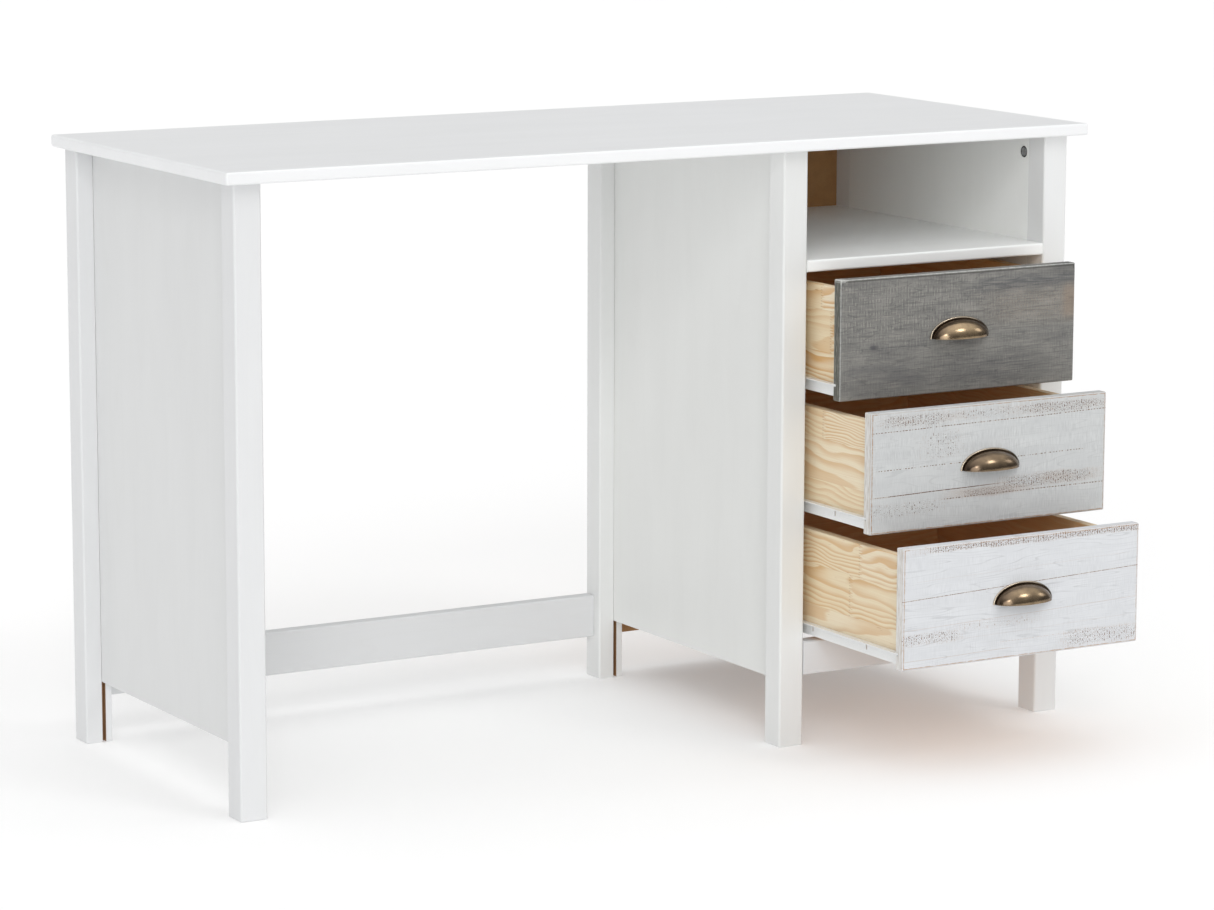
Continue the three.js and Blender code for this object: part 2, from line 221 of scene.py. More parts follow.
def painted_wood(axis, seed, white_and_painted_light_level=235, raw=None, tint_and_painted_light=1):
    """Satin white paint over close-grained pine, with the grain only just telegraphing through.
    raw is the middle of a groove in x and its two ends in y: no paint reaches inside it."""
    key = ("paint", axis, seed)
    if key in _cache:
        return _cache[key]
    m = Mat(f"white_paint_{axis}_{seed}")
    fibre = m.noise(m.stretched(axis, 0.03, seed), 0.42, 4, 0.6)
    broad = m.noise(m.stretched(axis, 0.25, seed + 3), 0.02, 2, 0.5, 0.6)
    rings = m.math("FRACT", m.mul(m.noise(m.stretched(axis, 0.06, seed + 5), 0.022, 1, 0.5, 0.2), 12.0))
    ridge = m.mul(m.smooth(rings, 0.72, 0.95), m.smooth(rings, 1.0, 0.96))
    peel = m.noise(m.P, 0.55, 2, 0.5)
    # The white's level and tint are set board by board as painted light and shade: each board is made lighter or
    # darker to stand in for the light that falls on it.
    col = m.ramp(broad, [(0.25, srgb(white_and_painted_light_level - 1, white_and_painted_light_level, white_and_painted_light_level + tint_and_painted_light)), (0.75, srgb(white_and_painted_light_level + 2, white_and_painted_light_level + 3, white_and_painted_light_level + 3 + tint_and_painted_light))])
    col = m.mix(m.smooth(fibre, 0.60, 0.85, 0.0, 0.10), col, srgb(white_and_painted_light_level - 10, white_and_painted_light_level - 10, white_and_painted_light_level - 10))
    col = m.mix(m.mul(ridge, 0.05), col, srgb(white_and_painted_light_level - 14, white_and_painted_light_level - 15, white_and_painted_light_level - 17))
    if raw:
        x, y, z = m.xyz()
        inside = m.mul(m.smooth(m.math("ABSOLUTE", m.sub(x, raw[0])), GROOVE_W / 2 + 0.5, GROOVE_W / 2 + 0.3),
                       m.mul(m.smooth(y, raw[1] - 0.5, raw[1] - 0.1), m.smooth(y, raw[2] + 0.5, raw[2] + 0.1)))
        col = m.mix(inside, col, m.mix(m.smooth(fibre, 0.4, 0.65), srgb(168, 132, 98), srgb(136, 100, 70)))
    m.set("Base Color", col)
    m.set("Roughness", m.remap(m.add(m.mul(fibre, 0.5), m.mul(peel, 0.5)), 0.3, 0.7, 0.34, 0.46))
    m.set("Specular IOR Level", 0.42)
    h = m.add(m.mul(fibre, 0.022), m.add(m.mul(peel, 0.018), m.mul(ridge, -0.012)))
    m.set("Normal", m.bump(m.add(h, m.mul(broad, 0.10)), 0.4))
    _cache[key] = m.m
    return m.m


def pine(along, up, seed, height0, lam=52.0, inner=None):
    """Clear-lacquered pine board glued up from finger-jointed staves, each with its own run of rings."""
    m = Mat(f"pine_{along}{up}_{seed}")
    p = dict(zip("XYZ", m.xyz()))
    t_axis = [c for c in "XYZ" if c not in (along, up)][0]
    a, h, t = p[along], p[up], p[t_axis]
    row = m.math("FLOOR", m.math("DIVIDE", m.sub(h, height0), lam))
    zig = m.math("PINGPONG", m.sub(h, height0), 1.7)
    seg_len = 250.0
    stagger = m.mul(m.white(m.comb(row, seed * 1.37, 4.1)), seg_len)
    run = m.math("DIVIDE", m.add(m.add(a, stagger), m.mul(zig, 5.2)), seg_len)
    seg = m.math("FLOOR", run)
    r1 = m.white(m.comb(row, seg, seed + 0.13))
    r2 = m.white(m.comb(row, seg, seed + 7.71))
    r3 = m.white(m.comb(seg, row, seed + 3.33))
    r4 = m.white(m.comb(seg, row, seed + 9.17))
    hc = m.add(m.mul(row, lam), height0 + lam / 2)
    jump = m.comb(m.mul(r1, 400.0), m.mul(r2, 400.0), m.mul(r3, 400.0))
    where = m.vec("ADD", m.P, jump)
    def drawn(k, scale, detail=1, rough=0.5):
        f = [1.0, 1.0, 1.0]
        f["XYZ".index(along)] = k
        return m.noise(m.vec("MULTIPLY", where, tuple(f)), scale, detail, rough)
    # the tree's middle lies beside the stave and wanders slowly along it
    sway = m.add(m.mul(m.sub(drawn(0.35, 0.030), 0.5), 26.0), m.mul(m.sub(drawn(0.8, 0.016), 0.5), 16.0))
    dh = m.add(m.add(m.sub(h, hc), m.remap(r2, 0, 1, -30.0, 30.0)), m.add(m.mul(m.remap(r3, 0, 1, -0.05, 0.05), a), sway))
    dt = m.add(m.add(m.remap(r1, 0, 1, 10.0, 58.0), m.mul(t, m.remap(m.math("GREATER_THAN", r4, 0.5), 0, 1, -1.0, 1.0))), m.mul(m.remap(r4, 0, 1, -0.07, 0.07), a))
    dt = m.add(m.math("ABSOLUTE", m.math("WRAP", dt, 64.0, -6.0)), 5.0)
    r = m.math("SQRT", m.add(m.mul(dh, dh), m.mul(dt, dt)))
    r = m.add(r, m.mul(m.sub(drawn(0.12, 0.10, 2), 0.5), 2.0))
    ring = m.math("FRACT", m.math("DIVIDE", r, m.remap(r2, 0, 1, 3.4, 6.2)))
    late = m.mul(m.smooth(ring, 0.22, 0.84), m.smooth(ring, 1.0, 0.90))
    late = m.mul(late, m.remap(r3, 0, 1, 0.40, 1.0))
    late = m.mul(late, m.remap(drawn(0.15, 0.03), 0.3, 0.7, 0.6, 1.0))
    fibre = drawn(0.015, 0.8, 4, 0.6)
    early = m.mix(r4, srgb(238, 227, 204), srgb(231, 213, 178))
    col = m.mix(m.mul(late, 0.95), early, srgb(206, 156, 90))
    col = m.mix(m.smooth(fibre, 0.38, 0.8, 0.0, 0.30), col, srgb(210, 172, 126))
    resin = drawn(0.08, 0.5, 1)
    col = m.mix(m.smooth(resin, 0.74, 0.80, 0.0, 0.45), col, srgb(176, 118, 68))
    # glue lines between staves and along the fingers
    edge_row = m.math("PINGPONG", m.sub(h, height0), lam / 2)
    glue = m.smooth(edge_row, 0.30, 0.0, 0.0, 0.22)
    f = m.math("FRACT", run)
    fjoint = m.mul(m.smooth(m.math("MINIMUM", f, m.sub(1.0, f)), 0.0040, 0.0016), m.smooth(zig, 0.9, 0.2, 0.12, 0.65))
    col = m.mix(m.math("MAXIMUM", glue, fjoint), col, srgb(140, 88, 50))
    # Painted light: the inner faces get a brighter, more orange copy of the pine, standing in for warm light bounced
    # about inside the drawer.
    if inner is not None:
        on = m.smooth(m.math("ABSOLUTE", m.sub(t, inner)), 0.5, 0.15)
        col = m.mix(m.mul(on, 0.60), col, m.mix(m.smooth(fibre, 0.35, 0.7), srgb(252, 212, 152), srgb(244, 194, 126)))
    m.set("Base Color", col)
    m.set("Roughness", m.remap(m.add(m.mul(late, -0.4), fibre), -0.1, 0.8, 0.40, 0.58))
    m.set("Specular IOR Level", 0.45)
    hh = m.add(m.mul(fibre, 0.05), m.add(m.mul(late, 0.05), m.mul(m.math("MAXIMUM", glue, fjoint), -0.06)))
    m.set("Normal", m.bump(hh, 0.6))
    return m.m


def hardboard(seed, tone_and_painted_light=1.0):
    m = Mat(f"hardboard_{seed}")
    v = m.vec("ADD", m.P, (seed * 13.0, seed * 29.0, seed * 7.0))
    mott = m.noise(v, 0.055, 3, 0.55)
    fib = m.noise(v, 1.1, 4, 0.7, 0.8)
    fleck = m.noise(m.vec("MULTIPLY", v, (1.0, 0.35, 0.6)), 0.9, 3, 0.6)
    # The tone scales every colour: the back panel's is its own brown, while the drawer bottoms' higher one is painted
    # light.
    col = m.ramp(m.add(m.mul(mott, 0.25), m.mul(fib, 0.75)), [(0.30, srgb(142 * tone_and_painted_light, 100 * tone_and_painted_light, 58 * tone_and_painted_light)), (0.52, srgb(164 * tone_and_painted_light, 122 * tone_and_painted_light, 76 * tone_and_painted_light)), (0.75, srgb(184 * tone_and_painted_light, 142 * tone_and_painted_light, 96 * tone_and_painted_light))])
    col = m.mix(m.smooth(fleck, 0.62, 0.74, 0.0, 0.35), col, srgb(122 * tone_and_painted_light, 84 * tone_and_painted_light, 50 * tone_and_painted_light))
    m.set("Base Color", col)
    m.set("Roughness", m.remap(fib, 0.3, 0.7, 0.46, 0.66))
    m.set("Normal", m.bump(m.add(m.mul(fib, 0.05), m.mul(mott, 0.02)), 0.5))
    return m.m


def coated_steel(seed):
    m = Mat(f"coated_steel_{seed}")
    peel = m.noise(m.P, 1.6, 2, 0.5)
    draw = m.noise(m.stretched("Y", 0.01, seed), 0.8, 2, 0.5)
    dust = m.noise(m.P, 0.25, 4, 0.7)
    col = m.ramp(peel, [(0.3, srgb(229, 231, 231)), (0.7, srgb(238, 239, 239))])
    col = m.mix(m.smooth(dust, 0.60, 0.75, 0.0, 0.35), col, srgb(205, 206, 204))
    m.set("Base Color", col)
    m.set("Metallic", 0.0)
    m.set("Roughness", m.remap(draw, 0.3, 0.7, 0.26, 0.40))
    m.set("Coat Weight", 0.25)
    m.set("Coat Roughness", 0.2)
    m.set("Normal", m.bump(m.add(m.mul(peel, 0.03), m.mul(draw, 0.01)), 0.5))
    return m.m


def plastic(seed):
    m = Mat(f"roller_plastic_{seed}")
    n = m.noise(m.P, 0.9, 3, 0.6)
    col = m.ramp(n, [(0.3, srgb(222, 219, 207)), (0.7, srgb(234, 231, 220))])
    m.set("Base Color", col)
    m.set("Roughness", m.remap(n, 0.3, 0.7, 0.35, 0.5))
    m.set("Subsurface Weight", 0.05)
    m.set("Subsurface Radius", (0.002, 0.002, 0.002))
    m.set("Normal", m.bump(m.mul(n, 0.03), 0.5))
    return m.m


def bronze(seed, c, a_, h_, out_, y_wall, z0, gold=0.5):
    """Aged bronze: a pale rim of rubbed metal with a painted highlight on its left and painted shade on its right, a
    dark groove inside it, and a brown dome worn to gold on its crown, with a painted sheen there and painted shade at
    its ends.
    """
    m = Mat(f"aged_bronze_{seed}")
    x, y, z = m.xyz()
    dx, dz = m.sub(x, c), m.sub(z, z0)
    ex = m.math("DIVIDE", dx, a_)
    ez = m.math("DIVIDE", dz, h_)
    rr = m.math("MAXIMUM", m.math("SQRT", m.add(m.mul(ex, ex), m.mul(ez, ez))), 0.05)
    far = m.math("SQRT", m.add(m.mul(dx, dx), m.mul(dz, dz)))
    beyond = m.mul(far, m.sub(1.0, m.math("DIVIDE", 1.0, rr)))      # millimetres outside the dome's foot
    out = m.math("DIVIDE", m.sub(y_wall, y), out_)                  # 0 at the wall, 1 at the lip
    mott = m.noise(m.vec("ADD", m.P, (seed * 9.0, 0, 0)), 0.07, 3, 0.5)
    fine = m.noise(m.vec("ADD", m.P, (seed * 5.0, 0, 3.0)), 1.3, 3, 0.65)
    rub = m.noise(m.stretched("X", 0.25, seed), 0.9, 2, 0.5)
    rim = m.smooth(beyond, 1.1, 1.7)
    foot = m.mul(m.smooth(out, 0.22, 0.03), m.sub(1.0, rim))
    # The gold worn into the crown is also a painted sheen.
    crown = m.mul(m.smooth(out, 0.25, 0.70), m.smooth(m.math("ABSOLUTE", m.add(ex, 0.05)), 0.95, 0.15))
    base = m.ramp(m.add(m.mul(mott, 0.7), m.mul(fine, 0.3)), [(0.32, srgb(94, 80, 68)), (0.50, srgb(114, 98, 82)), (0.68, srgb(136, 118, 98))])
    worn = m.mul(m.mul(crown, m.remap(mott, 0.30, 0.62, 0.55, 1.0)), 0.15 + 0.70 * gold)
    col = m.mix(worn, base, srgb(192, 168, 134))
    col = m.mix(m.mul(foot, 0.78), col, srgb(54, 43, 34))
    # Painted shade: the dome's left and right ends are darkened where they turn away.
    ends = m.smooth(m.math("ABSOLUTE", ex), 0.72, 1.0)
    col = m.mix(m.mul(m.mul(ends, m.sub(1.0, rim)), 0.6), col, srgb(62, 50, 41))
    # The rim is painted pale, as rubbed metal and a painted highlight; its right part is then darkened as painted
    # shade.
    col = m.mix(m.mul(rim, 0.9), col, srgb(214, 200, 180))
    col = m.mix(m.mul(m.mul(m.smooth(ex, 0.35, 0.80), rim), 0.85), col, srgb(40, 34, 30))
    lip = m.mul(m.smooth(dz, 1.5, 0.3), m.smooth(out, 0.1, 0.3))
    col = m.mix(m.mul(lip, 0.4), col, srgb(150, 130, 104))
    m.set("Base Color", col)
    m.set("Metallic", 1.0)
    m.set("Roughness", m.remap(m.add(m.mul(rub, 0.5), m.mul(foot, 0.5)), 0.15, 0.85, 0.17, 0.38))
    m.set("Normal", m.bump(m.add(m.mul(mott, 0.10), m.mul(fine, 0.015)), 0.4))
    return m.m


def zinc(seed, cy, cz, R):
    """Die-cast zinc, with a painted shade ring round its rim where the casting sits sunk in its pocket."""
    m = Mat(f"zinc_{seed}")
    x, y, z = m.xyz()
    dy, dz = m.sub(y, cy), m.sub(z, cz)
    far = m.math("SQRT", m.add(m.mul(dy, dy), m.mul(dz, dz)))
    n = m.noise(m.P, 0.8, 4, 0.65)
    g = m.noise(m.P, 3.0, 2, 0.5)
    col = m.ramp(n, [(0.3, srgb(158, 160, 162)), (0.7, srgb(196, 197, 198))])
    # Painted shade: a near-black ring round the rim.
    m.set("Base Color", m.mix(m.smooth(far, R - 2.6, R - 1.7, 0.0, 0.92), col, srgb(52, 52, 52)))
    m.set("Metallic", 0.55)
    m.set("Roughness", m.remap(g, 0.3, 0.7, 0.34, 0.52))
    m.set("Normal", m.bump(m.mul(n, 0.04), 0.6))
    return m.m


def screw_steel(seed):
    m = Mat(f"screw_steel_{seed}")
    n = m.noise(m.P, 1.5, 3, 0.6)
    m.set("Base Color", m.ramp(n, [(0.3, srgb(168, 168, 162)), (0.7, srgb(206, 206, 198))]))
    m.set("Metallic", 1.0)
    m.set("Roughness", m.remap(n, 0.3, 0.7, 0.25, 0.42))
    m.set("Normal", m.bump(m.mul(n, 0.02), 0.5))
    return m.m


class FrontMat(Mat):
    """Saw-marked drawer front. u runs 0 to 1 from left to right and v 0 to 1 from the top edge down."""

    def __init__(self, name, lo, hi, seed):
        super().__init__(name)
        self.seed = seed
        x, y, z = self.xyz()
        self.w, self.h = hi[0] - lo[0], hi[2] - lo[2]
        self.ux = self.sub(x, lo[0])
        self.vz = self.sub(hi[2], z)
        self.u = self.math("DIVIDE", self.ux, self.w)
        self.v = self.math("DIVIDE", self.vz, self.h)
        self.depth = self.sub(y, lo[1])                      # 0 on the front face
        # distance to the nearest arris, in millimetres: the middle one of the three to the board's faces
        dx = self.math("MINIMUM", self.ux, self.sub(self.w, self.ux))
        dz = self.math("MINIMUM", self.vz, self.sub(self.h, self.vz))
        dy = self.math("MINIMUM", self.depth, self.sub(hi[1] - lo[1], self.depth))
        least, most = self.math("MINIMUM", dx, dz), self.math("MAXIMUM", dx, dz)
        self.edge = self.math("MAXIMUM", least, self.math("MINIMUM", most, dy))
        self.at_front = self.smooth(self.depth, 3.2, 2.2)
        s = seed * 40.0
        # vertical saw marks: fine irregular lines across the board, in drifting groups
        drift = self.mul(self.sub(self.noise(self.comb(self.mul(self.ux, 0.02), self.mul(self.vz, 0.012), s), 1.0, 2), 0.5), 9.0)
        sx = self.add(self.ux, drift)
        lines = self.noise(self.comb(self.mul(sx, 0.95), self.mul(self.vz, 0.065), s + 1.0), 1.0, 2, 0.65)
        groups = self.noise(self.comb(self.mul(self.ux, 0.022), self.mul(self.vz, 0.03), s + 2.0), 1.0, 2, 0.5)
        self.saw = lines
        self.saw_amp = self.smooth(groups, 0.36, 0.62)
        # horizontal grain
        self.grain = self.noise(self.comb(self.mul(self.ux, 0.012), self.mul(self.vz, 0.55), s + 4.0), 1.0, 4, 0.6)
        self.cloud = self.noise(self.comb(self.mul(self.ux, 0.02), self.mul(self.vz, 0.05), s + 5.0), 1.0, 3, 0.55)
        self.speck = self.noise(self.comb(self.mul(self.ux, 0.85), self.mul(self.vz, 0.75), s + 6.0), 1.0, 2, 0.7)
        # every third or so saw mark bites deep enough to show through, as a row of upright dashes
        self.comb_u = self.smooth(self.math("PINGPONG", self.add(self.ux, self.mul(drift, 0.25)), 1.85), 1.05, 1.45)
        self.dash = self.mul(self.comb_u, self.noise(self.comb(self.mul(self.ux, 0.19), self.mul(self.vz, 0.30), s + 9.0), 1.0, 2, 0.6))
        self.fleck = self.noise(self.comb(self.mul(self.ux, 0.9), self.mul(self.vz, 0.9), s + 7.0), 1.0, 2, 0.6)

    def window(self, u0, u1, v0, v1, su=0.05, sv=0.02):
        jit = self.mul(self.sub(self.cloud, 0.5), 0.05)
        vv = self.add(self.v, jit)
        a = self.mul(self.smooth(self.u, u0 - su, u0 + su), self.smooth(self.u, u1 + su, u1 - su))
        b = self.mul(self.smooth(vv, v0 - sv, v0 + sv), self.smooth(vv, v1 + sv, v1 - sv))
        return self.mul(self.mul(a, b), self.at_front)

    def line(self, v0, v1, thick, u0=-1.0, u1=2.0, dots=0.0, wave=0.006, fade=0.02):
        """A thin mark along the grain from v0 at the left end to v1 at the right end."""
        bow = self.mul(self.sub(self.noise(self.comb(self.mul(self.u, 2.6), v0 * 31.0, self.seed), 1.0, 1), 0.5), wave * 2)
        path = self.add(self.add(v0, self.mul(self.u, v1 - v0)), bow)
        d = self.mul(self.math("ABSOLUTE", self.sub(self.v, path)), self.h)
        k = self.mul(self.smooth(d, thick, thick * 0.25), self.at_front)
        if u0 > -1 or u1 < 2:
            k = self.mul(k, self.mul(self.smooth(self.u, u0 - fade, u0 + fade), self.smooth(self.u, u1 + fade, u1 - fade)))
        broken = self.noise(self.comb(self.mul(self.ux, 0.30), v0 * 57.0, self.seed + 3.0), 1.0, 2, 0.7)
        if dots > 0:
            beat = self.math("PINGPONG", self.add(self.ux, self.mul(broken, 7.0)), 2.2)
            k = self.mul(k, self.mul(self.smooth(beat, 0.9, 1.4, 0.25 * (1 - dots), 1.0), self.smooth(broken, 0.42 - 0.12 * (1 - dots), 0.48)))
        else:
            k = self.mul(k, self.remap(broken, 0.3, 0.6, 0.45, 1.0))
        return k

    def spots(self, mask, dense):
        """Short upright specks along the saw marks where the wash has been rubbed off the high points."""
        thr = 0.645 - dense * 0.15
        a = self.mul(self.smooth(self.speck, thr, thr + 0.03), 0.9)
        b = self.smooth(self.dash, thr - 0.05, thr - 0.01)
        return self.mul(mask, self.math("MAXIMUM", a, b))


def wash(name, lo, hi, seed, base_lo, base_hi, brown, core, marks, edge_wear, saw_gain, grain_gain):
    m = FrontMat(name, lo, hi, seed)
    col = m.ramp(m.add(m.mul(m.cloud, 0.6), m.mul(m.grain, 0.4)), [(0.32, base_lo), (0.66, base_hi)])
    dark = tuple(c * 0.74 for c in base_lo[:3]) + (1,)
    light = tuple(min(1.0, c * 1.13) for c in base_hi[:3]) + (1,)
    amp = m.remap(m.saw_amp, 0, 1, 0.35, 1.0)
    col = m.mix(m.mul(m.mul(m.smooth(m.saw, 0.52, 0.38), amp), 0.34 * saw_gain), col, dark)
    col = m.mix(m.mul(m.mul(m.smooth(m.saw, 0.52, 0.64), amp), 0.42 * saw_gain), col, light)
    col = m.mix(m.smooth(m.grain, 0.56, 0.72, 0.0, 0.22 * grain_gain), col, dark)
    col = m.mix(m.smooth(m.grain, 0.44, 0.30, 0.0, 0.20 * grain_gain), col, light)
    figure = m.math("FRACT", m.mul(m.noise(m.comb(m.mul(m.ux, 0.0035), m.mul(m.vz, 0.040), seed * 7.0), 1.0, 2, 0.45), 16.0))
    thin = m.mul(m.smooth(figure, 0.80, 0.93), m.smooth(figure, 1.0, 0.97))
    col = m.mix(m.mul(m.mul(thin, m.smooth(m.cloud, 0.38, 0.58)), 0.30 * grain_gain), col, dark)
    wear = marks(m)
    col = m.mix(m.mul(wear, 0.85), col, brown)
    col = m.mix(m.mul(m.smooth(wear, 0.40, 0.62), m.smooth(m.fleck, 0.42, 0.49)), col, core)
    # rubbed arrises: a thin brown line where the rounding meets the face, pale on the rounding itself
    nz = m.noise(m.comb(m.mul(m.ux, 0.14), m.mul(m.vz, 0.14), seed + 11.0), 1.0, 3, 0.65)
    near = m.sub(m.edge, m.mul(m.sub(nz, 0.5), 1.6))
    line = m.mul(m.smooth(near, 2.9, 2.0), m.smooth(near, 1.0, 1.6))
    sides = m.math("MAXIMUM", m.math("MAXIMUM", m.smooth(m.u, 0.03, 0.02, 0.0, 1.0), m.smooth(m.v, 0.92, 0.96, 0.0, 0.9)),
                   m.math("MAXIMUM", m.smooth(m.u, 0.97, 0.985, 0.0, 0.55), m.mul(m.smooth(m.v, 0.06, 0.03, 0.0, 0.75), m.smooth(m.u, 0.1, 0.5, 0.35, 1.0))))
    col = m.mix(m.mul(m.mul(line, m.at_front), m.mul(sides, m.remap(nz, 0.34, 0.56, 0.25, edge_wear))), col, brown)
    bare = m.mul(m.smooth(m.edge, 1.3, 0.4), m.smooth(nz, 0.56, 0.66))
    col = m.mix(m.mul(bare, 0.55 * edge_wear), col, brown)
    endf = m.mul(m.smooth(m.math("MINIMUM", m.ux, m.sub(m.w, m.ux)), 0.5, 0.1), m.smooth(m.depth, 1.2, 2.2))
    brush = m.noise(m.comb(m.mul(m.depth, 0.5), m.mul(m.vz, 0.05), seed + 21.0), 1.0, 3, 0.6)
    col = m.mix(m.mul(endf, 0.75), col, m.ramp(brush, [(0.36, srgb(196, 188, 178)), (0.52, srgb(222, 219, 214)), (0.66, srgb(232, 231, 229))]))
    m.set("Base Color", col)
    m.set("Roughness", m.remap(m.add(m.saw, m.mul(wear, 0.4)), 0.3, 1.0, 0.52, 0.74))
    m.set("Specular IOR Level", 0.32)
    h = m.add(m.mul(m.mul(m.saw, amp), 0.24), m.add(m.mul(m.grain, 0.14), m.mul(m.fleck, 0.05)))
    h = m.sub(h, m.mul(wear, 0.12))
    h = m.sub(h, m.mul(m.smooth(m.edge, 1.4, 0.0), m.mul(nz, 0.3)))
    m.set("Normal", m.bump(h, 0.75))
    return m.m


def grey_front(lo, hi, seed):
    m = FrontMat("grey_sawn_front", lo, hi, seed)
    s = seed * 40.0
    base = m.ramp(m.add(m.mul(m.cloud, 0.6), m.mul(m.grain, 0.4)),
                  [(0.30, srgb(107, 106, 105)), (0.50, srgb(126, 125, 121)), (0.70, srgb(144, 142, 137))])
    sawd = m.mul(m.smooth(m.saw, 0.50, 0.36), m.remap(m.saw_amp, 0, 1, 0.35, 1.0))
    sawl = m.mul(m.smooth(m.saw, 0.54, 0.66), m.remap(m.saw_amp, 0, 1, 0.30, 1.0))
    col = m.mix(m.mul(sawd, 0.32), base, srgb(90, 90, 91))
    col = m.mix(m.mul(sawl, 0.26), col, srgb(158, 157, 152))
    # the saw's teeth show as short upright dashes, boldest in the upper left half
    tooth = m.math("PINGPONG", m.add(m.ux, m.mul(m.sub(m.noise(m.comb(m.mul(m.ux, 0.09), m.mul(m.vz, 0.03), s + 41.0), 1.0, 2), 0.5), 7.0)), 2.15)
    cut = m.noise(m.comb(m.mul(m.ux, 0.20), m.mul(m.vz, 0.15), s + 43.0), 1.0, 2, 0.6)
    bold = m.add(0.26, m.mul(m.window(-0.2, 0.58, 0.04, 0.52, 0.25, 0.12), 0.50))
    col = m.mix(m.mul(m.mul(m.smooth(tooth, 1.15, 1.70), m.smooth(cut, 0.47, 0.57)), m.mul(bold, 0.50)), col, srgb(84, 83, 82))
    col = m.mix(m.mul(m.mul(m.smooth(tooth, 1.00, 0.40), m.smooth(cut, 0.46, 0.58)), m.mul(bold, 0.42)), col, srgb(168, 165, 157))
    # waving grain and the long lines of its figure
    wavy = m.noise(m.comb(m.mul(m.ux, 0.030), m.mul(m.vz, 0.40), seed + 31.0), 1.0, 4, 0.62, 0.6)
    col = m.mix(m.smooth(wavy, 0.53, 0.63, 0.0, 0.42), col, srgb(90, 89, 89))
    col = m.mix(m.smooth(wavy, 0.43, 0.33, 0.0, 0.36), col, srgb(156, 152, 144))
    figure = m.math("FRACT", m.mul(m.noise(m.comb(m.mul(m.ux, 0.0050), m.mul(m.vz, 0.034), s + 47.0), 1.0, 3, 0.5), 13.0))
    thin = m.mul(m.smooth(figure, 0.78, 0.93), m.smooth(figure, 1.0, 0.97))
    col = m.mix(m.mul(m.mul(thin, m.smooth(m.grain, 0.38, 0.55)), 0.42), col, srgb(80, 79, 80))
    # darker stain at the upper right, streaks and smudges low down, tan showing through on the right
    col = m.mix(m.mul(m.window(0.58, 1.05, 0.07, 0.19, 0.14, 0.05), m.smooth(wavy, 0.38, 0.56, 0.20, 0.62)), col, srgb(78, 80, 84))
    col = m.mix(m.mul(m.window(0.88, 1.10, -0.05, 0.08, 0.05, 0.04), 0.42), col, srgb(82, 82, 82))
    col = m.mix(m.mul(m.window(0.45, 1.05, 0.74, 0.92, 0.15, 0.06), m.smooth(m.grain, 0.42, 0.62, 0.0, 0.5)), col, srgb(84, 84, 86))
    col = m.mix(m.mul(m.window(0.03, 0.36, 0.72, 0.97, 0.08, 0.06), m.smooth(m.cloud, 0.42, 0.60, 0.0, 0.50)), col, srgb(86, 86, 89))
    col = m.mix(m.mul(m.window(0.62, 1.05, 0.18, 0.46, 0.12, 0.08), m.smooth(m.speck, 0.50, 0.62, 0.0, 0.42)), col, srgb(166, 144, 120))
    col = m.mix(m.mul(m.window(0.950, 1.05, 0.18, 0.46, 0.02, 0.06), 0.34), col, srgb(148, 124, 102))
    for v0, v1, th, ua, ub, g in ((0.585, 0.600, 0.9, 0.02, 0.42, 0.55), (0.80, 0.74, 0.8, 0.10, 0.95, 0.40), (0.150, 0.130, 0.8, 0.50, 1.0, 0.48),
                                  (0.250, 0.225, 0.7, 0.40, 0.92, 0.38), (0.690, 0.700, 0.6, 0.30, 0.85, 0.30), (0.885, 0.850, 0.8, 0.15, 0.80, 0.36),
                                  (0.360, 0.345, 0.6, 0.62, 1.0, 0.34), (0.480, 0.470, 0.6, 0.70, 1.0, 0.30)):
        col = m.mix(m.mul(m.line(v0, v1, th, ua, ub, wave=0.012, fade=0.07), g), col, srgb(78, 78, 80))
    knot_d = m.math("SQRT", m.add(m.math("POWER", m.math("ABSOLUTE", m.mul(m.sub(m.u, 0.14), 46.0)), 2.0), m.math("POWER", m.math("ABSOLUTE", m.mul(m.sub(m.v, 0.575), 44.0)), 2.0)))
    col = m.mix(m.smooth(knot_d, 1.3, 0.2, 0.0, 0.7), col, srgb(70, 70, 76))
    col = m.mix(m.smooth(m.fleck, 0.66, 0.76, 0.0, 0.35), col, srgb(176, 174, 168))
    nz = m.noise(m.comb(m.mul(m.ux, 0.16), m.mul(m.vz, 0.16), seed + 11.0), 1.0, 3, 0.65)
    # the left and right ends are darker, brushed upright
    endf = m.mul(m.smooth(m.math("MINIMUM", m.ux, m.sub(m.w, m.ux)), 0.5, 0.1), m.smooth(m.depth, 1.2, 2.2))
    brush = m.noise(m.comb(m.mul(m.depth, 0.55), m.mul(m.vz, 0.06), seed + 21.0), 1.0, 4, 0.65)
    col = m.mix(m.mul(endf, 0.92), col, m.ramp(brush, [(0.38, srgb(76, 77, 71)), (0.52, srgb(95, 95, 88)), (0.64, srgb(142, 140, 131))]))
    edge = m.smooth(m.sub(m.edge, m.mul(m.sub(nz, 0.5), 1.5)), 1.5, 0.4)
    upper = m.smooth(m.v, 0.05, 0.02, 0.45, 0.95)
    col = m.mix(m.mul(edge, upper), col, srgb(192, 194, 191))
    under = m.mul(m.mul(m.smooth(m.edge, 4.2, 3.0), m.smooth(m.edge, 1.7, 2.3)), m.mul(m.smooth(m.v, 0.06, 0.03), m.at_front))
    col = m.mix(m.mul(under, 0.72), col, srgb(68, 66, 64))
    chip = m.mul(m.mul(m.smooth(m.ux, 12.0, 4.0), m.smooth(m.vz, 4.5, 2.0)), m.smooth(m.speck, 0.40, 0.52))
    col = m.mix(m.mul(chip, 0.75), col, srgb(204, 204, 200))
    low = m.smooth(m.sub(m.h, m.vz), 1.6, 0.2)
    col = m.mix(m.mul(low, 0.5), col, srgb(104, 82, 62))
    m.set("Base Color", col)
    m.set("Roughness", m.remap(m.saw, 0.3, 0.7, 0.56, 0.74))
    m.set("Specular IOR Level", 0.3)
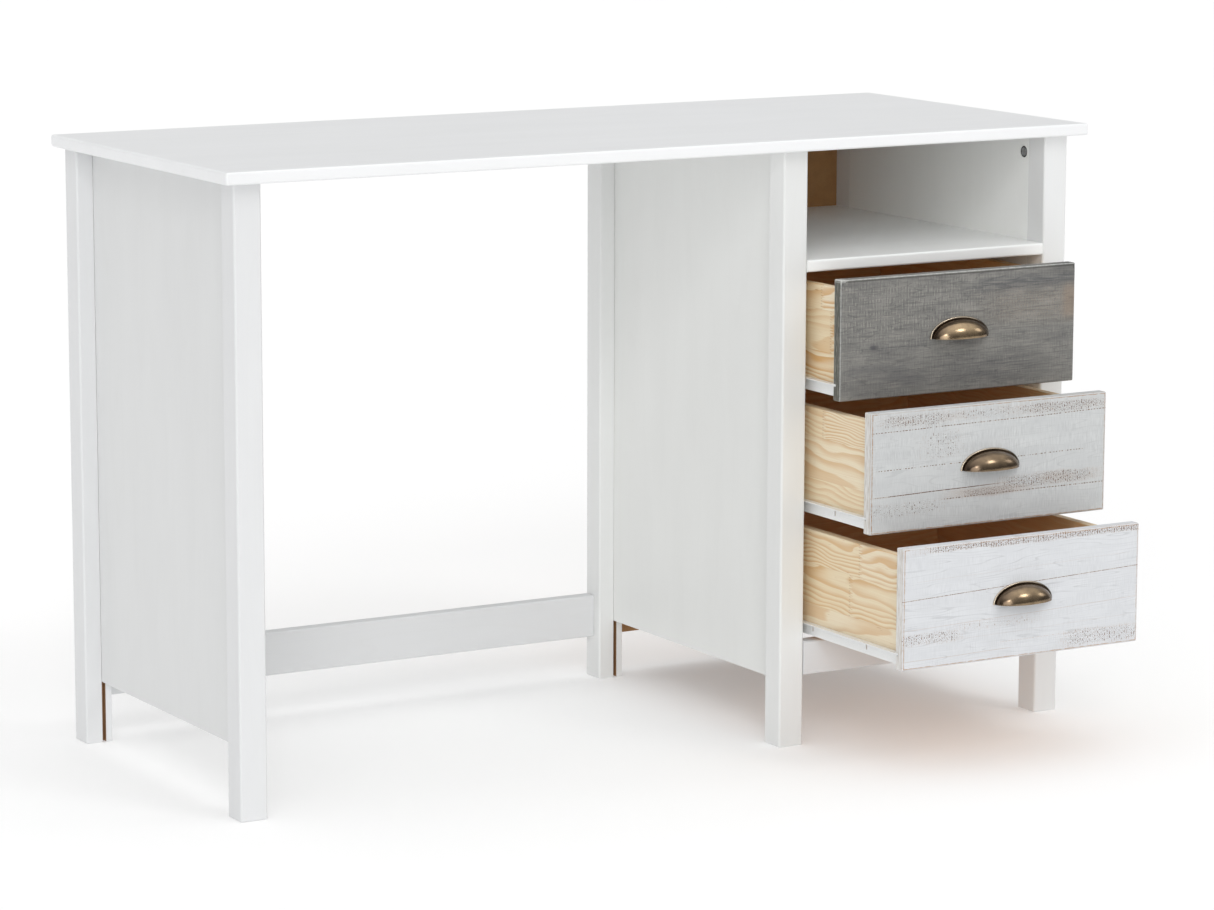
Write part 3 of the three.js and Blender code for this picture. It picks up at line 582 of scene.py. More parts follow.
    h = m.add(m.mul(m.saw, 0.26), m.add(m.mul(m.grain, 0.16), m.mul(m.fleck, 0.06)))
    h = m.sub(h, m.mul(m.smooth(m.edge, 1.4, 0.0), m.mul(nz, 0.3)))
    m.set("Normal", m.bump(h, 0.8))
    return m.m


def middle_marks(m):
    k = m.math("MAXIMUM", m.mul(m.line(0.167, 0.136, 0.8, dots=0.3), 1.0), m.mul(m.line(0.480, 0.460, 0.8, 0.03, 0.90, dots=0.9), 1.0))
    k = m.math("MAXIMUM", k, m.mul(m.line(0.697, 0.665, 0.9, 0.0, 0.56, fade=0.16), 0.9))
    k = m.math("MAXIMUM", k, m.mul(m.line(0.768, 0.752, 0.9, 0.30, 1.0, dots=0.2), 1.0))
    worn = m.smooth(m.cloud, 0.36, 0.62)
    for u0, u1, v0, v1, su, dense, g in ((0.05, 0.34, 0.040, 0.130, 0.08, 0.44, 1.0), (0.34, 0.62, 0.045, 0.110, 0.08, 0.26, 0.95), (0.62, 1.00, 0.045, 0.125, 0.09, 0.50, 1.0),
                                         (0.56, 0.94, 0.630, 0.730, 0.10, 0.54, 1.0), (-0.02, 0.30, 0.760, 0.860, 0.08, 0.22, 0.85), (0.22, 0.38, 0.200, 0.420, 0.06, 0.18, 0.75)):
        k = m.math("MAXIMUM", k, m.mul(m.spots(m.window(u0, u1, v0, v1, su, 0.025), dense), g))
    rub = m.remap(m.speck, 0.40, 0.60, 0.15, 1.0)
    patch = m.math("MAXIMUM", m.mul(m.window(0.34, 0.66, 0.700, 0.765, 0.10, 0.015), 0.60), m.mul(m.window(0.56, 0.96, 0.640, 0.725, 0.10, 0.03), m.mul(worn, 0.42)))
    patch = m.math("MAXIMUM", patch, m.mul(m.window(0.06, 0.98, 0.045, 0.120, 0.10, 0.02), m.mul(worn, 0.24)))
    return m.math("MAXIMUM", k, m.mul(patch, rub))


def lower_marks(m):
    k = m.mul(m.line(0.432, 0.352, 0.65), 0.75)
    k = m.math("MAXIMUM", k, m.mul(m.line(0.675, 0.615, 0.55), 0.40))
    k = m.math("MAXIMUM", k, m.mul(m.line(0.930, 0.900, 0.6, 0.0, 0.45), 0.45))
    k = m.math("MAXIMUM", k, m.mul(m.line(0.870, 0.845, 0.6, 0.40, 1.0, dots=0.3), 0.42))
    k = m.math("MAXIMUM", k, m.mul(m.line(0.285, 0.235, 0.5, 0.05, 0.95, wave=0.010), 0.18))
    k = m.math("MAXIMUM", k, m.mul(m.line(0.800, 0.760, 0.5, 0.15, 0.95), 0.20))
    k = m.math("MAXIMUM", k, m.mul(m.spots(m.window(0.10, 1.10, 0.010, 0.058, 0.12, 0.010), 0.72), 0.95))
    k = m.math("MAXIMUM", k, m.mul(m.spots(m.window(-0.02, 0.24, 0.71, 0.80, 0.04, 0.02), 0.5), 0.75))
    k = m.math("MAXIMUM", k, m.mul(m.spots(m.window(0.22, 0.58, 0.66, 0.73, 0.06, 0.02), 0.3), 0.5))
    k = m.math("MAXIMUM", k, m.mul(m.spots(m.window(0.68, 1.02, 0.84, 0.97, 0.06, 0.03), 0.45), 0.75))
    return k


# ------------------------------------------------------------------ mesh helpers
def finish_mesh(ob, sharp=42.0, keep_weighted=True):
    """Applies the modifiers and gives flat faces flat normals and rounded edges smooth ones."""
    dg = bpy.context.evaluated_depsgraph_get()
    me = bpy.data.meshes.new_from_object(ob.evaluated_get(dg))
    ob.modifiers.clear()
    old = ob.data
    ob.data = me
    bpy.data.meshes.remove(old)
    for p in me.polygons:
        p.use_smooth = True
    me.set_sharp_from_angle(angle=math.radians(sharp))
    if keep_weighted:
        w = ob.modifiers.new("weighted", "WEIGHTED_NORMAL")
        w.keep_sharp = True
        w.weight = 80
        dg = bpy.context.evaluated_depsgraph_get()
        me2 = bpy.data.meshes.new_from_object(ob.evaluated_get(dg))
        ob.modifiers.clear()
        ob.data = me2
        bpy.data.meshes.remove(me)
    return ob


def new_object(name, bm):
    bmesh.ops.recalc_face_normals(bm, faces=bm.faces)
    me = bpy.data.meshes.new(name)
    bm.to_mesh(me)
    bm.free()
    ob = bpy.data.objects.new(name, me)
    bpy.context.scene.collection.objects.link(ob)
    return ob


def prism(name, pts, axis, a, b, R=3.0, segs=4, end_w=0.35, cutters=()):
    """Board with the section pts, run along axis from a to b (mm). Each point is (p, q, w): w is
    the share of R that its long edge is rounded by, and end_w the same for the edges of the ends."""
    bm = bmesh.new()
    lay = bm.edges.layers.float.new("bevel_weight_edge")
    def P(p, q, s):
        return {"X": (s, p, q), "Y": (p, s, q), "Z": (p, q, s)}[axis]
    v0 = [bm.verts.new(Vector(P(p, q, a)) * MM) for p, q, w in pts]
    v1 = [bm.verts.new(Vector(P(p, q, b)) * MM) for p, q, w in pts]
    n = len(pts)
    bm.faces.new(v0)
    bm.faces.new(v1)
    for i in range(n):
        bm.faces.new((v0[i], v0[(i + 1) % n], v1[(i + 1) % n], v1[i]))
    for i in range(n):
        bm.edges.get((v0[i], v1[i]))[lay] = pts[i][2]
        w = end_w if pts[i][2] >= 0.3 and pts[(i + 1) % n][2] >= 0.3 else min(end_w, 0.10)
        for vv in (v0, v1):
            bm.edges.get((vv[i], vv[(i + 1) % n]))[lay] = w
    ob = new_object(name, bm)
    m = ob.modifiers.new("bevel", "BEVEL")
    m.width = R * MM
    m.segments = segs
    m.limit_method = "WEIGHT"
    m.offset_type = "OFFSET"
    m.use_clamp_overlap = True
    for i, c in enumerate(cutters):
        bo = ob.modifiers.new(f"cut{i}", "BOOLEAN")
        bo.operation = "DIFFERENCE"
        bo.solver = "EXACT"
        bo.object = c
    finish_mesh(ob)
    for c in cutters:
        bpy.data.objects.remove(c)
    return ob


def lathe(name, prof, centre, axis="X", n=48, flip=1.0):
    """Turned piece: prof is a closed run of (radius, place along the axis), in mm."""
    bm = bmesh.new()
    rings = []
    for r, s in prof:
        ring = []
        if r < 1e-6:
            c = {"X": (s * flip, 0, 0), "Y": (0, s * flip, 0), "Z": (0, 0, s * flip)}[axis]
            ring = [bm.verts.new((Vector(c) + Vector(centre)) * MM)] * n
        else:
            for i in range(n):
                t = 2 * math.pi * i / n
                c, q = r * math.cos(t), r * math.sin(t)
                v = {"X": (s * flip, c, q), "Y": (c, s * flip, q), "Z": (c, q, s * flip)}[axis]
                ring.append(bm.verts.new((Vector(v) + Vector(centre)) * MM))
        rings.append(ring)
    for a, b in zip(rings, rings[1:]):
        for i in range(n):
            quad = [a[i], a[(i + 1) % n], b[(i + 1) % n], b[i]]
            seen = []
            for v in quad:
                if v not in seen:
                    seen.append(v)
            if len(seen) > 2:
                bm.faces.new(seen)
    bmesh.ops.remove_doubles(bm, verts=bm.verts, dist=1e-7)
    return new_object(name, bm)


def cutter_cyl(r, a, b, y, z, axis="X", n=48):
    ob = lathe("cutter", [(0, a), (r, a), (r, b), (0, b)], (0, y, z) if axis == "X" else (y, 0, z), axis, n)
    return ob


def cutter_box(lo, hi):
    bm = bmesh.new()
    r = bmesh.ops.create_cube(bm, size=1.0)
    for v in r["verts"]:
        v.co = Vector([(l + h) / 2 + v.co[i] * (h - l) for i, (l, h) in enumerate(zip(lo, hi))]) * MM
    return new_object("cutter", bm)


def join(name, obs):
    bm = bmesh.new()
    for o in obs:
        bm.from_mesh(o.data)
        bpy.data.objects.remove(o)
    me = bpy.data.meshes.new(name)
    bm.to_mesh(me)
    bm.free()
    for p in me.polygons:
        p.use_smooth = True
    me.set_sharp_from_angle(angle=math.radians(40))
    ob = bpy.data.objects.new(name, me)
    bpy.context.scene.collection.objects.link(ob)
    return ob


def stands_for(ob, node, mat):
    ob.data.materials.clear()
    ob.data.materials.append(mat)
    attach(ob, BODY[node])
    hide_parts(node)
    return ob


def extra(ob, body, mat):
    ob.data.materials.clear()
    ob.data.materials.append(mat)
    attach(ob, body)
    return ob


# ------------------------------------------------------------------ desk frame
def plain_board(node, grain, seed, white_and_painted_light_level, R=3.0, w=1.0, end_w=1.0, segs=4, run="Z"):
    lo, hi = box(node)
    i = "XYZ".index(run)
    p, q = [k for k in range(3) if k != i]
    pts = [(lo[p], lo[q], w), (hi[p], lo[q], w), (hi[p], hi[q], w), (lo[p], hi[q], w)]
    ob = prism(node + "_wood", pts, run, lo[i], hi[i], R, segs, end_w)
    return stands_for(ob, node, painted_wood(grain, seed, white_and_painted_light_level))


# Each board's paint level below is painted light and shade: the rear stretcher and front rail are darker as painted
# shade.
plain_board("tabletop", "X", 1, 238, R=3.0)
plain_board("rear_stretcher", "X", 2, 219, R=3.0, run="X", end_w=0.08)
plain_board("front_rail", "X", 3, 214, R=3.0, run="X", end_w=0.08)

# The shelf's paint is set lighter as painted light in the niche.
lo, hi = box("shelf")
stands_for(prism("shelf_wood", [(lo[1], lo[2], 1), (hi[1], lo[2], 0.1), (hi[1], hi[2], 0.1), (lo[1], hi[2], 1)], "X", lo[0], hi[0], 3.0, 4, 0.06),
           "shelf", painted_wood("X", 4, 246, tint_and_painted_light=-1))

REBATE_X, REBATE_Y = 7.0, 3.3
for k, (side, flush_right) in enumerate((("left", True), ("middle", True), ("right", False))):
    for end in ("front", "rear"):
        node = f"{side}_{end}_leg"
        (x0, y0, z0), (x1, y1, z1) = box(node)
        g0 = x0 + GROOVE_AT if flush_right else x1 - GROOVE_AT - GROOVE_W
        g1 = g0 + GROOVE_W
        e = 0.10
        # the corner beside the panel's flush face stays nearly square
        pts = [(x0, y0, 0.15 if end == "rear" and not flush_right else 1)]
        if end == "rear":
            pts += [(g0, y0, e), (g0, y0 + GROOVE_D, 0.02), (g1, y0 + GROOVE_D, 0.02), (g1, y0, e)]
        pts += [(x1, y0, 0.15 if end == "rear" and flush_right else 1)]
        if end == "rear" and side == "middle":
            pts += [(x1, y1 - REBATE_Y, e), (x1 - REBATE_X, y1 - REBATE_Y, 0.02), (x1 - REBATE_X, y1, e)]
        else:
            pts += [(x1, y1, 0.15 if end == "front" and flush_right else 1)]
        if end == "front":
            pts += [(g1, y1, e), (g1, y1 - GROOVE_D, 0.02), (g0, y1 - GROOVE_D, 0.02), (g0, y1, e)]
        if end == "rear" and side == "right":
            pts += [(x0 + REBATE_X, y1, e), (x0 + REBATE_X, y1 - REBATE_Y, 0.02), (x0, y1 - REBATE_Y, e)]
        else:
            pts += [(x0, y1, 0.15 if end == "front" and not flush_right else 1)]
        ob = prism(node + "_wood", pts, "Z", z0, z1, 3.0, 4, 0.45)
        raw = ((g0 + g1) / 2, y0 + 0.9, y0 + GROOVE_D + 0.2) if end == "rear" else ((g0 + g1) / 2, y1 - GROOVE_D - 0.2, y1 - 0.9)
        # The legs' paint level and tint differ side by side as painted light and shade: the left legs darker, the
        # right legs lighter.
        stands_for(ob, node, painted_wood("Z", 10 + 2 * k + (end == "rear"), (223, 227, 231)[k], raw, (1, -1, 0)[k]))

# side panels with tongues and cam pockets
CAM_R, CAM_DEPTH, CAM_DROP, CAM_IN = 7.5, 10.5, 24.0, 10.5
(_, leg_y0, _), (_, leg_y1, _) = box("left_front_leg")
(_, rear_y0, _), _ = box("left_rear_leg")
top_under = box("tabletop")[0][2]
cam_y = (leg_y1 + CAM_IN, rear_y0 - CAM_IN)
cam_z = top_under - CAM_DROP
zinc_m = {y: zinc(i + 1, y, cam_z, CAM_R) for i, y in enumerate(cam_y)}


def cam_lock(name, face_x, into, y, z):
    R = CAM_R - 0.35
    prof = [(0, 0.55), (R - 1.1, 0.55), (R - 0.55, 0.45), (R - 0.15, 0.75), (R, 1.2), (R, CAM_DEPTH - 0.8), (R - 0.3, CAM_DEPTH - 0.5), (0, CAM_DEPTH - 0.5)]
    ob = lathe(name, prof, (face_x, y, z), "X", 64, into)
    cuts = []
    for w, l in ((1.7, 8.6), (8.6, 1.7)):
        a, b = sorted((face_x - into * 1.0, face_x + into * 2.6))
        c = cutter_box((a, y - w / 2, z - l / 2), (b, y + w / 2, z + l / 2))
        cuts.append(c)
    a, b = sorted((face_x - into * 1.0, face_x + into * 1.3))
    cuts.append(cutter_box((a, y + 4.9, z - 0.6), (b, y + 6.6, z + 0.6)))
    for i, c in enumerate(cuts):
        bo = ob.modifiers.new(f"slot{i}", "BOOLEAN")
        bo.operation = "DIFFERENCE"
        bo.solver = "EXACT"
        bo.object = c
    finish_mesh(ob, 35)
    for c in cuts:
        bpy.data.objects.remove(c)
    return ob


for k, (side, flush_right) in enumerate((("left", True), ("middle", True), ("right", False))):
    node = f"{side}_side_panel"
    (x0, y0, z0), (x1, y1, z1) = box(node)
    ya, yb = leg_y1 + 0.3, rear_y0 - 0.3
    if flush_right:
        tx = x0 + GROOVE_W - 0.6
        pts = [(x0, y0, .1), (tx, y0, .1), (tx, ya, .02), (x1, ya, .12), (x1, yb, .12), (tx, yb, .02), (tx, y1, .1), (x0, y1, .1)]
        face, into = x1, -1
    else:
        tx = x1 - GROOVE_W + 0.6
        pts = [(x1, y0, .1), (tx, y0, .1), (tx, ya, .02), (x0, ya, .12), (x0, yb, .12), (tx, yb, .02), (tx, y1, .1), (x1, y1, .1)]
        face, into = x0, 1
    cuts = []
    for y in cam_y:
        a, b = sorted((face - into * 3, face + into * CAM_DEPTH))
        cuts.append(cutter_cyl(CAM_R, a, b, y, cam_z))
    ob = prism(node + "_wood", pts, "Z", z0, z1, 3.0, 3, 0.35, cuts)
    # The panels' paint level and tint differ as painted light and shade: the left panel darker, the middle and right
    # panels in the niche lighter and warmer.
    stands_for(ob, node, painted_wood("Z", 20 + k, (221, 228, 244)[k], None, (0, -2, -2)[k]))
    for e, y in zip(("front", "rear"), cam_y):
        name = f"{side}_{e}_cam_lock"
        cam = cam_lock(name + "_casting", face, into, y, cam_z)
        if name in NODES:
            stands_for(cam, name, zinc_m[y])
        else:
            extra(cam, "desk_frame", zinc_m[y])


# ------------------------------------------------------------------ small fixings
def screw_head(centre, axis, flip, r=3.6, t=1.6, cross=True):
    """Pan head with a cross recess; its flat side is at the centre point and it stands out along flip."""
    prof = [(0, 0), (r, 0), (r, t * 0.35), (r * 0.92, t * 0.66), (r * 0.7, t * 0.9), (r * 0.35, t), (0, t)]
    ob = lathe("screw", prof, centre, axis, 28, flip)
    if cross:
        i = "XYZ".index(axis)
        cuts = []
        for w in (0, 1):
            lo_, hi_ = [0, 0, 0], [0, 0, 0]
            others = [k for k in range(3) if k != i]
            wid = {others[0]: (r * 0.95 if w else 0.75), others[1]: (0.75 if w else r * 0.95)}
            for kk in others:
                lo_[kk], hi_[kk] = centre[kk] - wid[kk] / 2, centre[kk] + wid[kk] / 2
            a, b = sorted((centre[i] + flip * t * 0.45, centre[i] + flip * (t + 1)))
            lo_[i], hi_[i] = a, b
            cuts.append(cutter_box(lo_, hi_))
        for q, c in enumerate(cuts):
            bo = ob.modifiers.new(f"x{q}", "BOOLEAN")
            bo.operation = "DIFFERENCE"
            bo.solver = "EXACT"
            bo.object = c
        finish_mesh(ob, 40, False)
        for c in cuts:
            bpy.data.objects.remove(c)
    return ob


screw_m = screw_steel(1)

# back panel with its nails
lo, hi = box("back_panel")
stands_for(prism("back_panel_board", [(lo[0], lo[1], .1), (hi[0], lo[1], .1), (hi[0], hi[1], .1), (lo[0], hi[1], .1)], "Z", lo[2], hi[2], 3.0, 2, 0.1),
           "back_panel", hardboard(1, 1.06))
nails = []
for x in (lo[0] + 3.5, hi[0] - 3.5):
    for i in range(7):
        z = lo[2] + 25 + i * (hi[2] - lo[2] - 50) / 6
        nails.append(screw_head((x, hi[1] - 0.1, z), "Y", 1, 1.7, 0.5, False))
extra(join("back_panel_nails", nails), "desk_frame", screw_m)


# ------------------------------------------------------------------ cup pull
def cup_pull(name, c, yw, z0, W, H, out):
    """Quarter-ellipsoid shell with a flange and a raised rim round its upper arc; c, yw, z0 are
    the middle of its lower edge at the drawer front."""
    F, wall = 3.4, 1.5
    a, h = W / 2 - F, H - F
    N, bm = 72, bmesh.new()
    flange = [(F, 0.0), (F, 1.0), (F - 0.25, 1.55), (F - 0.8, 1.85), (F - 1.4, 1.75), (F - 1.9, 1.3), (F - 2.5, 0.95), (0.35, 0.9)]
    rows = []
    al = [math.pi * i / N for i in range(N + 1)]
    for o, y in flange:
        row = []
        for t in al:
            nx, nz = h * math.cos(t), a * math.sin(t)
            l = math.hypot(nx, nz)
            row.append((a * math.cos(t) + o * nx / l, -y, max(0.0, h * math.sin(t) + o * nz / l)))
        rows.append(row)
    M = 16
    for j in range(M + 1):
        b = math.pi / 2 * j / M
        rows.append([(a * math.cos(t), -0.9 - (out - 0.9) * math.sin(t) ** 0.9 * math.sin(b), h * math.sin(t) * math.cos(b)) for t in al])
    ai, hi_, oi = a - wall, h - wall, out - wall
    rows.append([((a - wall / 2) * math.cos(t), -0.9 - (out - wall / 2 - 0.9) * math.sin(t) ** 0.9, -0.0) for t in al])
    for j in range(M, -1, -1):
        b = math.pi / 2 * j / M
        rows.append([(ai * math.cos(t), -0.9 - max(0.0, oi - 0.9) * math.sin(t) ** 0.9 * math.sin(b), hi_ * math.sin(t) * math.cos(b)) for t in al])
    rows.append([(ai * math.cos(t), 0.0, hi_ * math.sin(t)) for t in al])
    vs = [[bm.verts.new(Vector((c + x, yw + y, z0 + z)) * MM) for x, y, z in row] for row in rows]
    R = len(vs)
    for i in range(R):
        a_, b_ = vs[i], vs[(i + 1) % R]
        for k in range(N):
            bm.faces.new((a_[k], a_[k + 1], b_[k + 1], b_[k]))
    bm.faces.new([r[0] for r in vs])
    bm.faces.new([r[N] for r in vs])
    bmesh.ops.remove_doubles(bm, verts=bm.verts, dist=2e-5)
    bmesh.ops.dissolve_degenerate(bm, edges=bm.edges, dist=1e-6)
    ob = new_object(name, bm)
    for p in ob.data.polygons:
        p.use_smooth = True
    ob.data.set_sharp_from_angle(angle=math.radians(50))
    return ob


# ------------------------------------------------------------------ slides
def sheet_section(path, t, r=1.0, n=3):
    """Outline of bent sheet of thickness t that runs along the left-hand side of path."""
    def offset(pts, d):
        out = []
        for i, p in enumerate(pts):
            if i == 0:
                dx, dy = pts[1][0] - p[0], pts[1][1] - p[1]
                l = math.hypot(dx, dy)
                out.append((p[0] - dy / l * d, p[1] + dx / l * d))
            elif i == len(pts) - 1:
                dx, dy = p[0] - pts[i - 1][0], p[1] - pts[i - 1][1]
                l = math.hypot(dx, dy)
                out.append((p[0] - dy / l * d, p[1] + dx / l * d))
            else:
                d1 = Vector((p[0] - pts[i - 1][0], p[1] - pts[i - 1][1])).normalized()
                d2 = Vector((pts[i + 1][0] - p[0], pts[i + 1][1] - p[1])).normalized()
                n1, n2 = Vector((-d1.y, d1.x)), Vector((-d2.y, d2.x))
                b = (n1 + n2).normalized()
                k = d / max(0.3, b.dot(n1))
                out.append((p[0] + b.x * k, p[1] + b.y * k))
        return out
    a, b = list(path), offset(path, t)
    return a + b[::-1]


def slide_member(name, section, y0, y1, hand, wall, zb, cuts=()):
    pts = []
    for x, z, w in section:
        pts.append((wall + hand * x, zb + z, w))
    cs = []
    for kind, y, z, sy, sz, xa, xb in cuts:
        a, b = sorted((wall + hand * xa, wall + hand * xb))
        cs.append(cutter_box((a, y - sy / 2, zb + z - sz / 2), (b, y + sy / 2, zb + z + sz / 2)) if kind == "slot"
                  else cutter_cyl(sy / 2, a, b, y, zb + z))
    return prism(name, pts, "Y", y0, y1, 1.0, 3, 0.15, cs)


CAB = [(0.3, -4.5, .9), (10.5, -4.5, .3), (10.5, -3.3, .3), (1.5, -3.3, .3), (1.5, 16.8, .3), (6, 16.8, .3), (6, 18, .3), (0.3, 18, .9)]
DRW = [(11, -1.5, .9), (21, -1.5, .3), (21, -0.3, .3), (12.2, -0.3, .2), (12.2, 15, .9), (2.5, 15, .3), (2.5, 13.8, .3), (11, 13.8, .25)]
ROLL_R, ROLL_W = 8.0, 6.4
wheel_prof = [(2.35, -3.2), (3.6, -3.2), (4.0, -2.9), (4.2, -2.4), (6.0, -2.2), (6.3, -2.9), (6.9, -3.15), (7.5, -2.9), (7.9, -2.3), (8.0, -1.6),
              (8.0, 1.6), (7.9, 2.3), (7.5, 2.9), (6.9, 3.15), (6.3, 2.9), (6.0, 2.2), (4.2, 2.4), (4.0, 2.9), (3.6, 3.2), (2.35, 3.2), (2.35, -3.2)]


def wheel(name, node):
    lo_, hi_ = box(node)
    c = [(l + h) / 2 for l, h in zip(lo_, hi_)]
    ob = lathe(name, wheel_prof, c, "X", 56)
    for p in ob.data.polygons:
        p.use_smooth = True
    ob.data.set_sharp_from_angle(angle=math.radians(50))
    return ob


def pin(name, wall, hand, xa, xb, xh, y, z):
    """Riveted pin that a wheel turns on: shank from xa to xb with a domed head from xb to xh."""
    s = 1 if xb > xa else -1
    prof = [(0, xa), (2.0, xa), (2.0, xb), (3.3, xb), (3.3, xb + s * 0.25), (2.6, xh - s * 0.1), (1.2, xh), (0, xh)]
    return lathe(name, [(r, x * hand) for r, x in prof], (wall, y, z), "X", 32)


# ------------------------------------------------------------------ drawers
wall_l = box("middle_front_leg")[1][0]
wall_r = box("right_front_leg")[0][0]
steel_m, plastic_m = coated_steel(1), plastic(1)
FRONT_LOOKS = {}
for k, d in enumerate(("upper", "middle", "lower")):
    body = f"{d}_drawer"
    lo, hi = box(f"{d}_drawer_front")
    zf = lo[2]
    y0, y1 = lo[1], hi[1]
    blo, bhi = box(f"{d}_drawer_bottom")
    g0, g1, gd = blo[2] - 0.3, bhi[2] + 0.3, y1 - 4.8
    pts = [(y0, lo[2], 0.9), (y1, lo[2], 0.35), (y1, g0, 0.1), (gd, g0, 0.05), (gd, g1, 0.05), (y1, g1, 0.1), (y1, hi[2], 0.35), (y0, hi[2], 0.9)]
    ob = prism(f"{d}_drawer_front_board", pts, "X", lo[0], hi[0], 2.0, 4, 0.8)
    if d == "upper":
        fm = grey_front(lo, hi, 1.0)
    elif d == "middle":
        fm = wash("pale_grey_front", lo, hi, 2.0, srgb(192, 194, 195), srgb(204, 206, 206), srgb(160, 122, 88), srgb(72, 50, 38), middle_marks, 0.95, 1.0, 1.0)
    else:
        fm = wash("white_washed_front", lo, hi, 3.0, srgb(207, 209, 212), srgb(218, 220, 223), srgb(172, 136, 102), srgb(96, 68, 50), lower_marks, 0.85, 0.5, 1.6)
    stands_for(ob, f"{d}_drawer_front", fm)

    # sides, back and bottom
    for side in ("left", "right"):
        node = f"{d}_drawer_{side}_side"
        slo, shi = box(node)
        inn, outx = (shi[0], slo[0]) if side == "left" else (slo[0], shi[0])
        s = -1 if side == "left" else 1
        gx = inn + s * 4.8
        pts = [(outx, slo[2], .3), (inn, slo[2], .3), (inn, g0, .1), (gx, g0, .05), (gx, g1, .05), (inn, g1, .1), (inn, shi[2], 1), (outx, shi[2], 1)]
        marks = []
        for q in (76, 196, 300):
            ma, mb = sorted((outx + s * 2, outx - s * 3.5))
            marks.append(cutter_box((ma, slo[1] + 0.7 + q - 1.3, zf + 4.5 + 4.6), (mb, slo[1] + 0.7 + q + 1.3, zf + 4.5 + 10.6)))
        ob = prism(node + "_board", pts, "Y", slo[1], shi[1], 1.6, 4, 0.3, marks)
        # The inner face is handed to pine() for its painted bounce light.
        stands_for(ob, node, pine("Y", "Z", 3 + 5 * k + (side == "right"), shi[2] - 30.0 - 6 * k, 52.0, inn))
    node = f"{d}_drawer_back"
    slo, shi = box(node)
    ob = prism(node + "_board", [(slo[1], slo[2], .3), (shi[1], slo[2], .3), (shi[1], shi[2], 1), (slo[1], shi[2], 1)], "X", slo[0], shi[0], 1.6, 4, 0.2)
    stands_for(ob, node, pine("X", "Z", 30 + k, slo[2] - 9.0, 52.0, slo[1]))
    node = f"{d}_drawer_bottom"
    ob = prism(node + "_sheet", [(blo[0], blo[1], .1), (bhi[0], blo[1], .1), (bhi[0], bhi[1], .1), (blo[0], bhi[1], .1)], "Z", blo[2], bhi[2], 2.0, 2, 0.1)
    # Painted light: the drawer bottoms' hardboard is made 1.22 times lighter, standing in for light inside the
    # drawers.
    stands_for(ob, node, hardboard(3 + k, 1.22))

    # cup pull and its screws
    plo, phi = box(f"{d}_drawer_pull")
    c = (plo[0] + phi[0]) / 2
    ob = cup_pull(f"{d}_cup_pull", c, phi[1], plo[2], phi[0] - plo[0], phi[2] - plo[2], phi[1] - plo[1])
    stands_for(ob, f"{d}_drawer_pull", bronze(k + 1, c, (phi[0] - plo[0]) / 2 - 3.4, phi[2] - plo[2] - 3.4, phi[1] - plo[1], phi[1], plo[2], (1.0, 0.15, 0.5)[k]))
    heads = [screw_head((c + sx * 32, y1 + 0.05, plo[2] + 9), "Y", 1, 3.8, 2.0) for sx in (-1, 1)]
    extra(join(f"{d}_pull_screws", heads), body, screw_m)

    # slides
    zb = zf + 4.5
    for side, hand, wall in (("left", 1, wall_l), ("right", -1, wall_r)):
        node = f"{d}_{side}_cabinet_slide"
        slo, shi = box(node)
        cuts = [("slot", slo[1] + q, 7.0, 12.0, 4.4, -1, 3) for q in (48, 176, 304)] + [("hole", slo[1] + q, 7.0, 4.6, 0, -1, 3) for q in (80, 224, 352, 384)]
        ob = slide_member(node + "_channel", CAB, slo[1], shi[1], hand, wall, zb, cuts)
        wn = f"{d}_{side}_cabinet_roller"
        wlo, whi = box(wn)
        yc, zc = (wlo[1] + whi[1]) / 2, (wlo[2] + whi[2]) / 2
        ob2 = pin("pin", wall, hand, 1.45, 8.9, 9.6, yc, zc)
        both = join(node + "_steel", [ob, ob2])
        stands_for(both, node, steel_m)
        stands_for(wheel(wn + "_wheel", wn), wn, plastic_m)
        heads = [screw_head((wall + hand * 1.5, slo[1] + q, zb + 7.0), "X", hand, 3.2, 1.4) for q in (80, 224, 352)]
        extra(join(f"{d}_{side}_cabinet_screws", heads), "desk_frame", screw_m)

        node = f"{d}_{side}_drawer_slide"
        slo, shi = box(node)
        ys = slo[1] + 5.4
        cuts = [("slot", ys + q, 7.6, 2.6, 6.0, 9, 14) for q in (76, 196, 300)] + [("hole", ys + q, 7.6, 3.6, 0, 9, 14) for q in (330,)]
        ob = slide_member(node + "_channel", DRW, ys, shi[1], hand, wall, zb, cuts)
        wn = f"{d}_{side}_drawer_roller"
        wlo, whi = box(wn)
        yc, zc = (wlo[1] + whi[1]) / 2, (wlo[2] + whi[2]) / 2
        ob2 = pin("pin", wall, hand, 11.05, 3.7, 3.0, yc, zc)
        xa, xb = sorted((wall + hand * 2.8, wall + hand * 12.1))
        tab = prism("tab", [(xa, slo[1], .5), (xb, slo[1], .5), (xb, ys + 3, .3), (xa, ys + 3, .3)], "Z", zb + 13.1, zb + 15.9, 1.0, 2, 0.5)
        both = join(node + "_steel", [ob, ob2, tab])
        stands_for(both, node, steel_m)
        stands_for(wheel(wn + "_wheel", wn), wn, plastic_m)
        heads = [screw_head((wall + hand * 16.6, ys + q, zb - 1.5), "Z", -1, 3.0, 1.3) for q in (30, 200, 360)]
        extra(join(f"{d}_{side}_side_screws", heads), body, screw_m)


# ------------------------------------------------------------------ floor, light and camera
def floor_material():
    m = Mat("studio_floor")
    n = m.noise(m.P, 0.0006, 2, 0.5)
    m.set("Base Color", m.ramp(n, [(0.3, (0.74, 0.74, 0.74, 1)), (0.7, (0.76, 0.76, 0.76, 1))]))
    m.set("Roughness", 0.9)
    m.set("Specular IOR Level", 0.1)
    m.set("Emission Color", (1, 1, 1, 1))
    m.set("Emission Strength", 0.25)
    return m.m


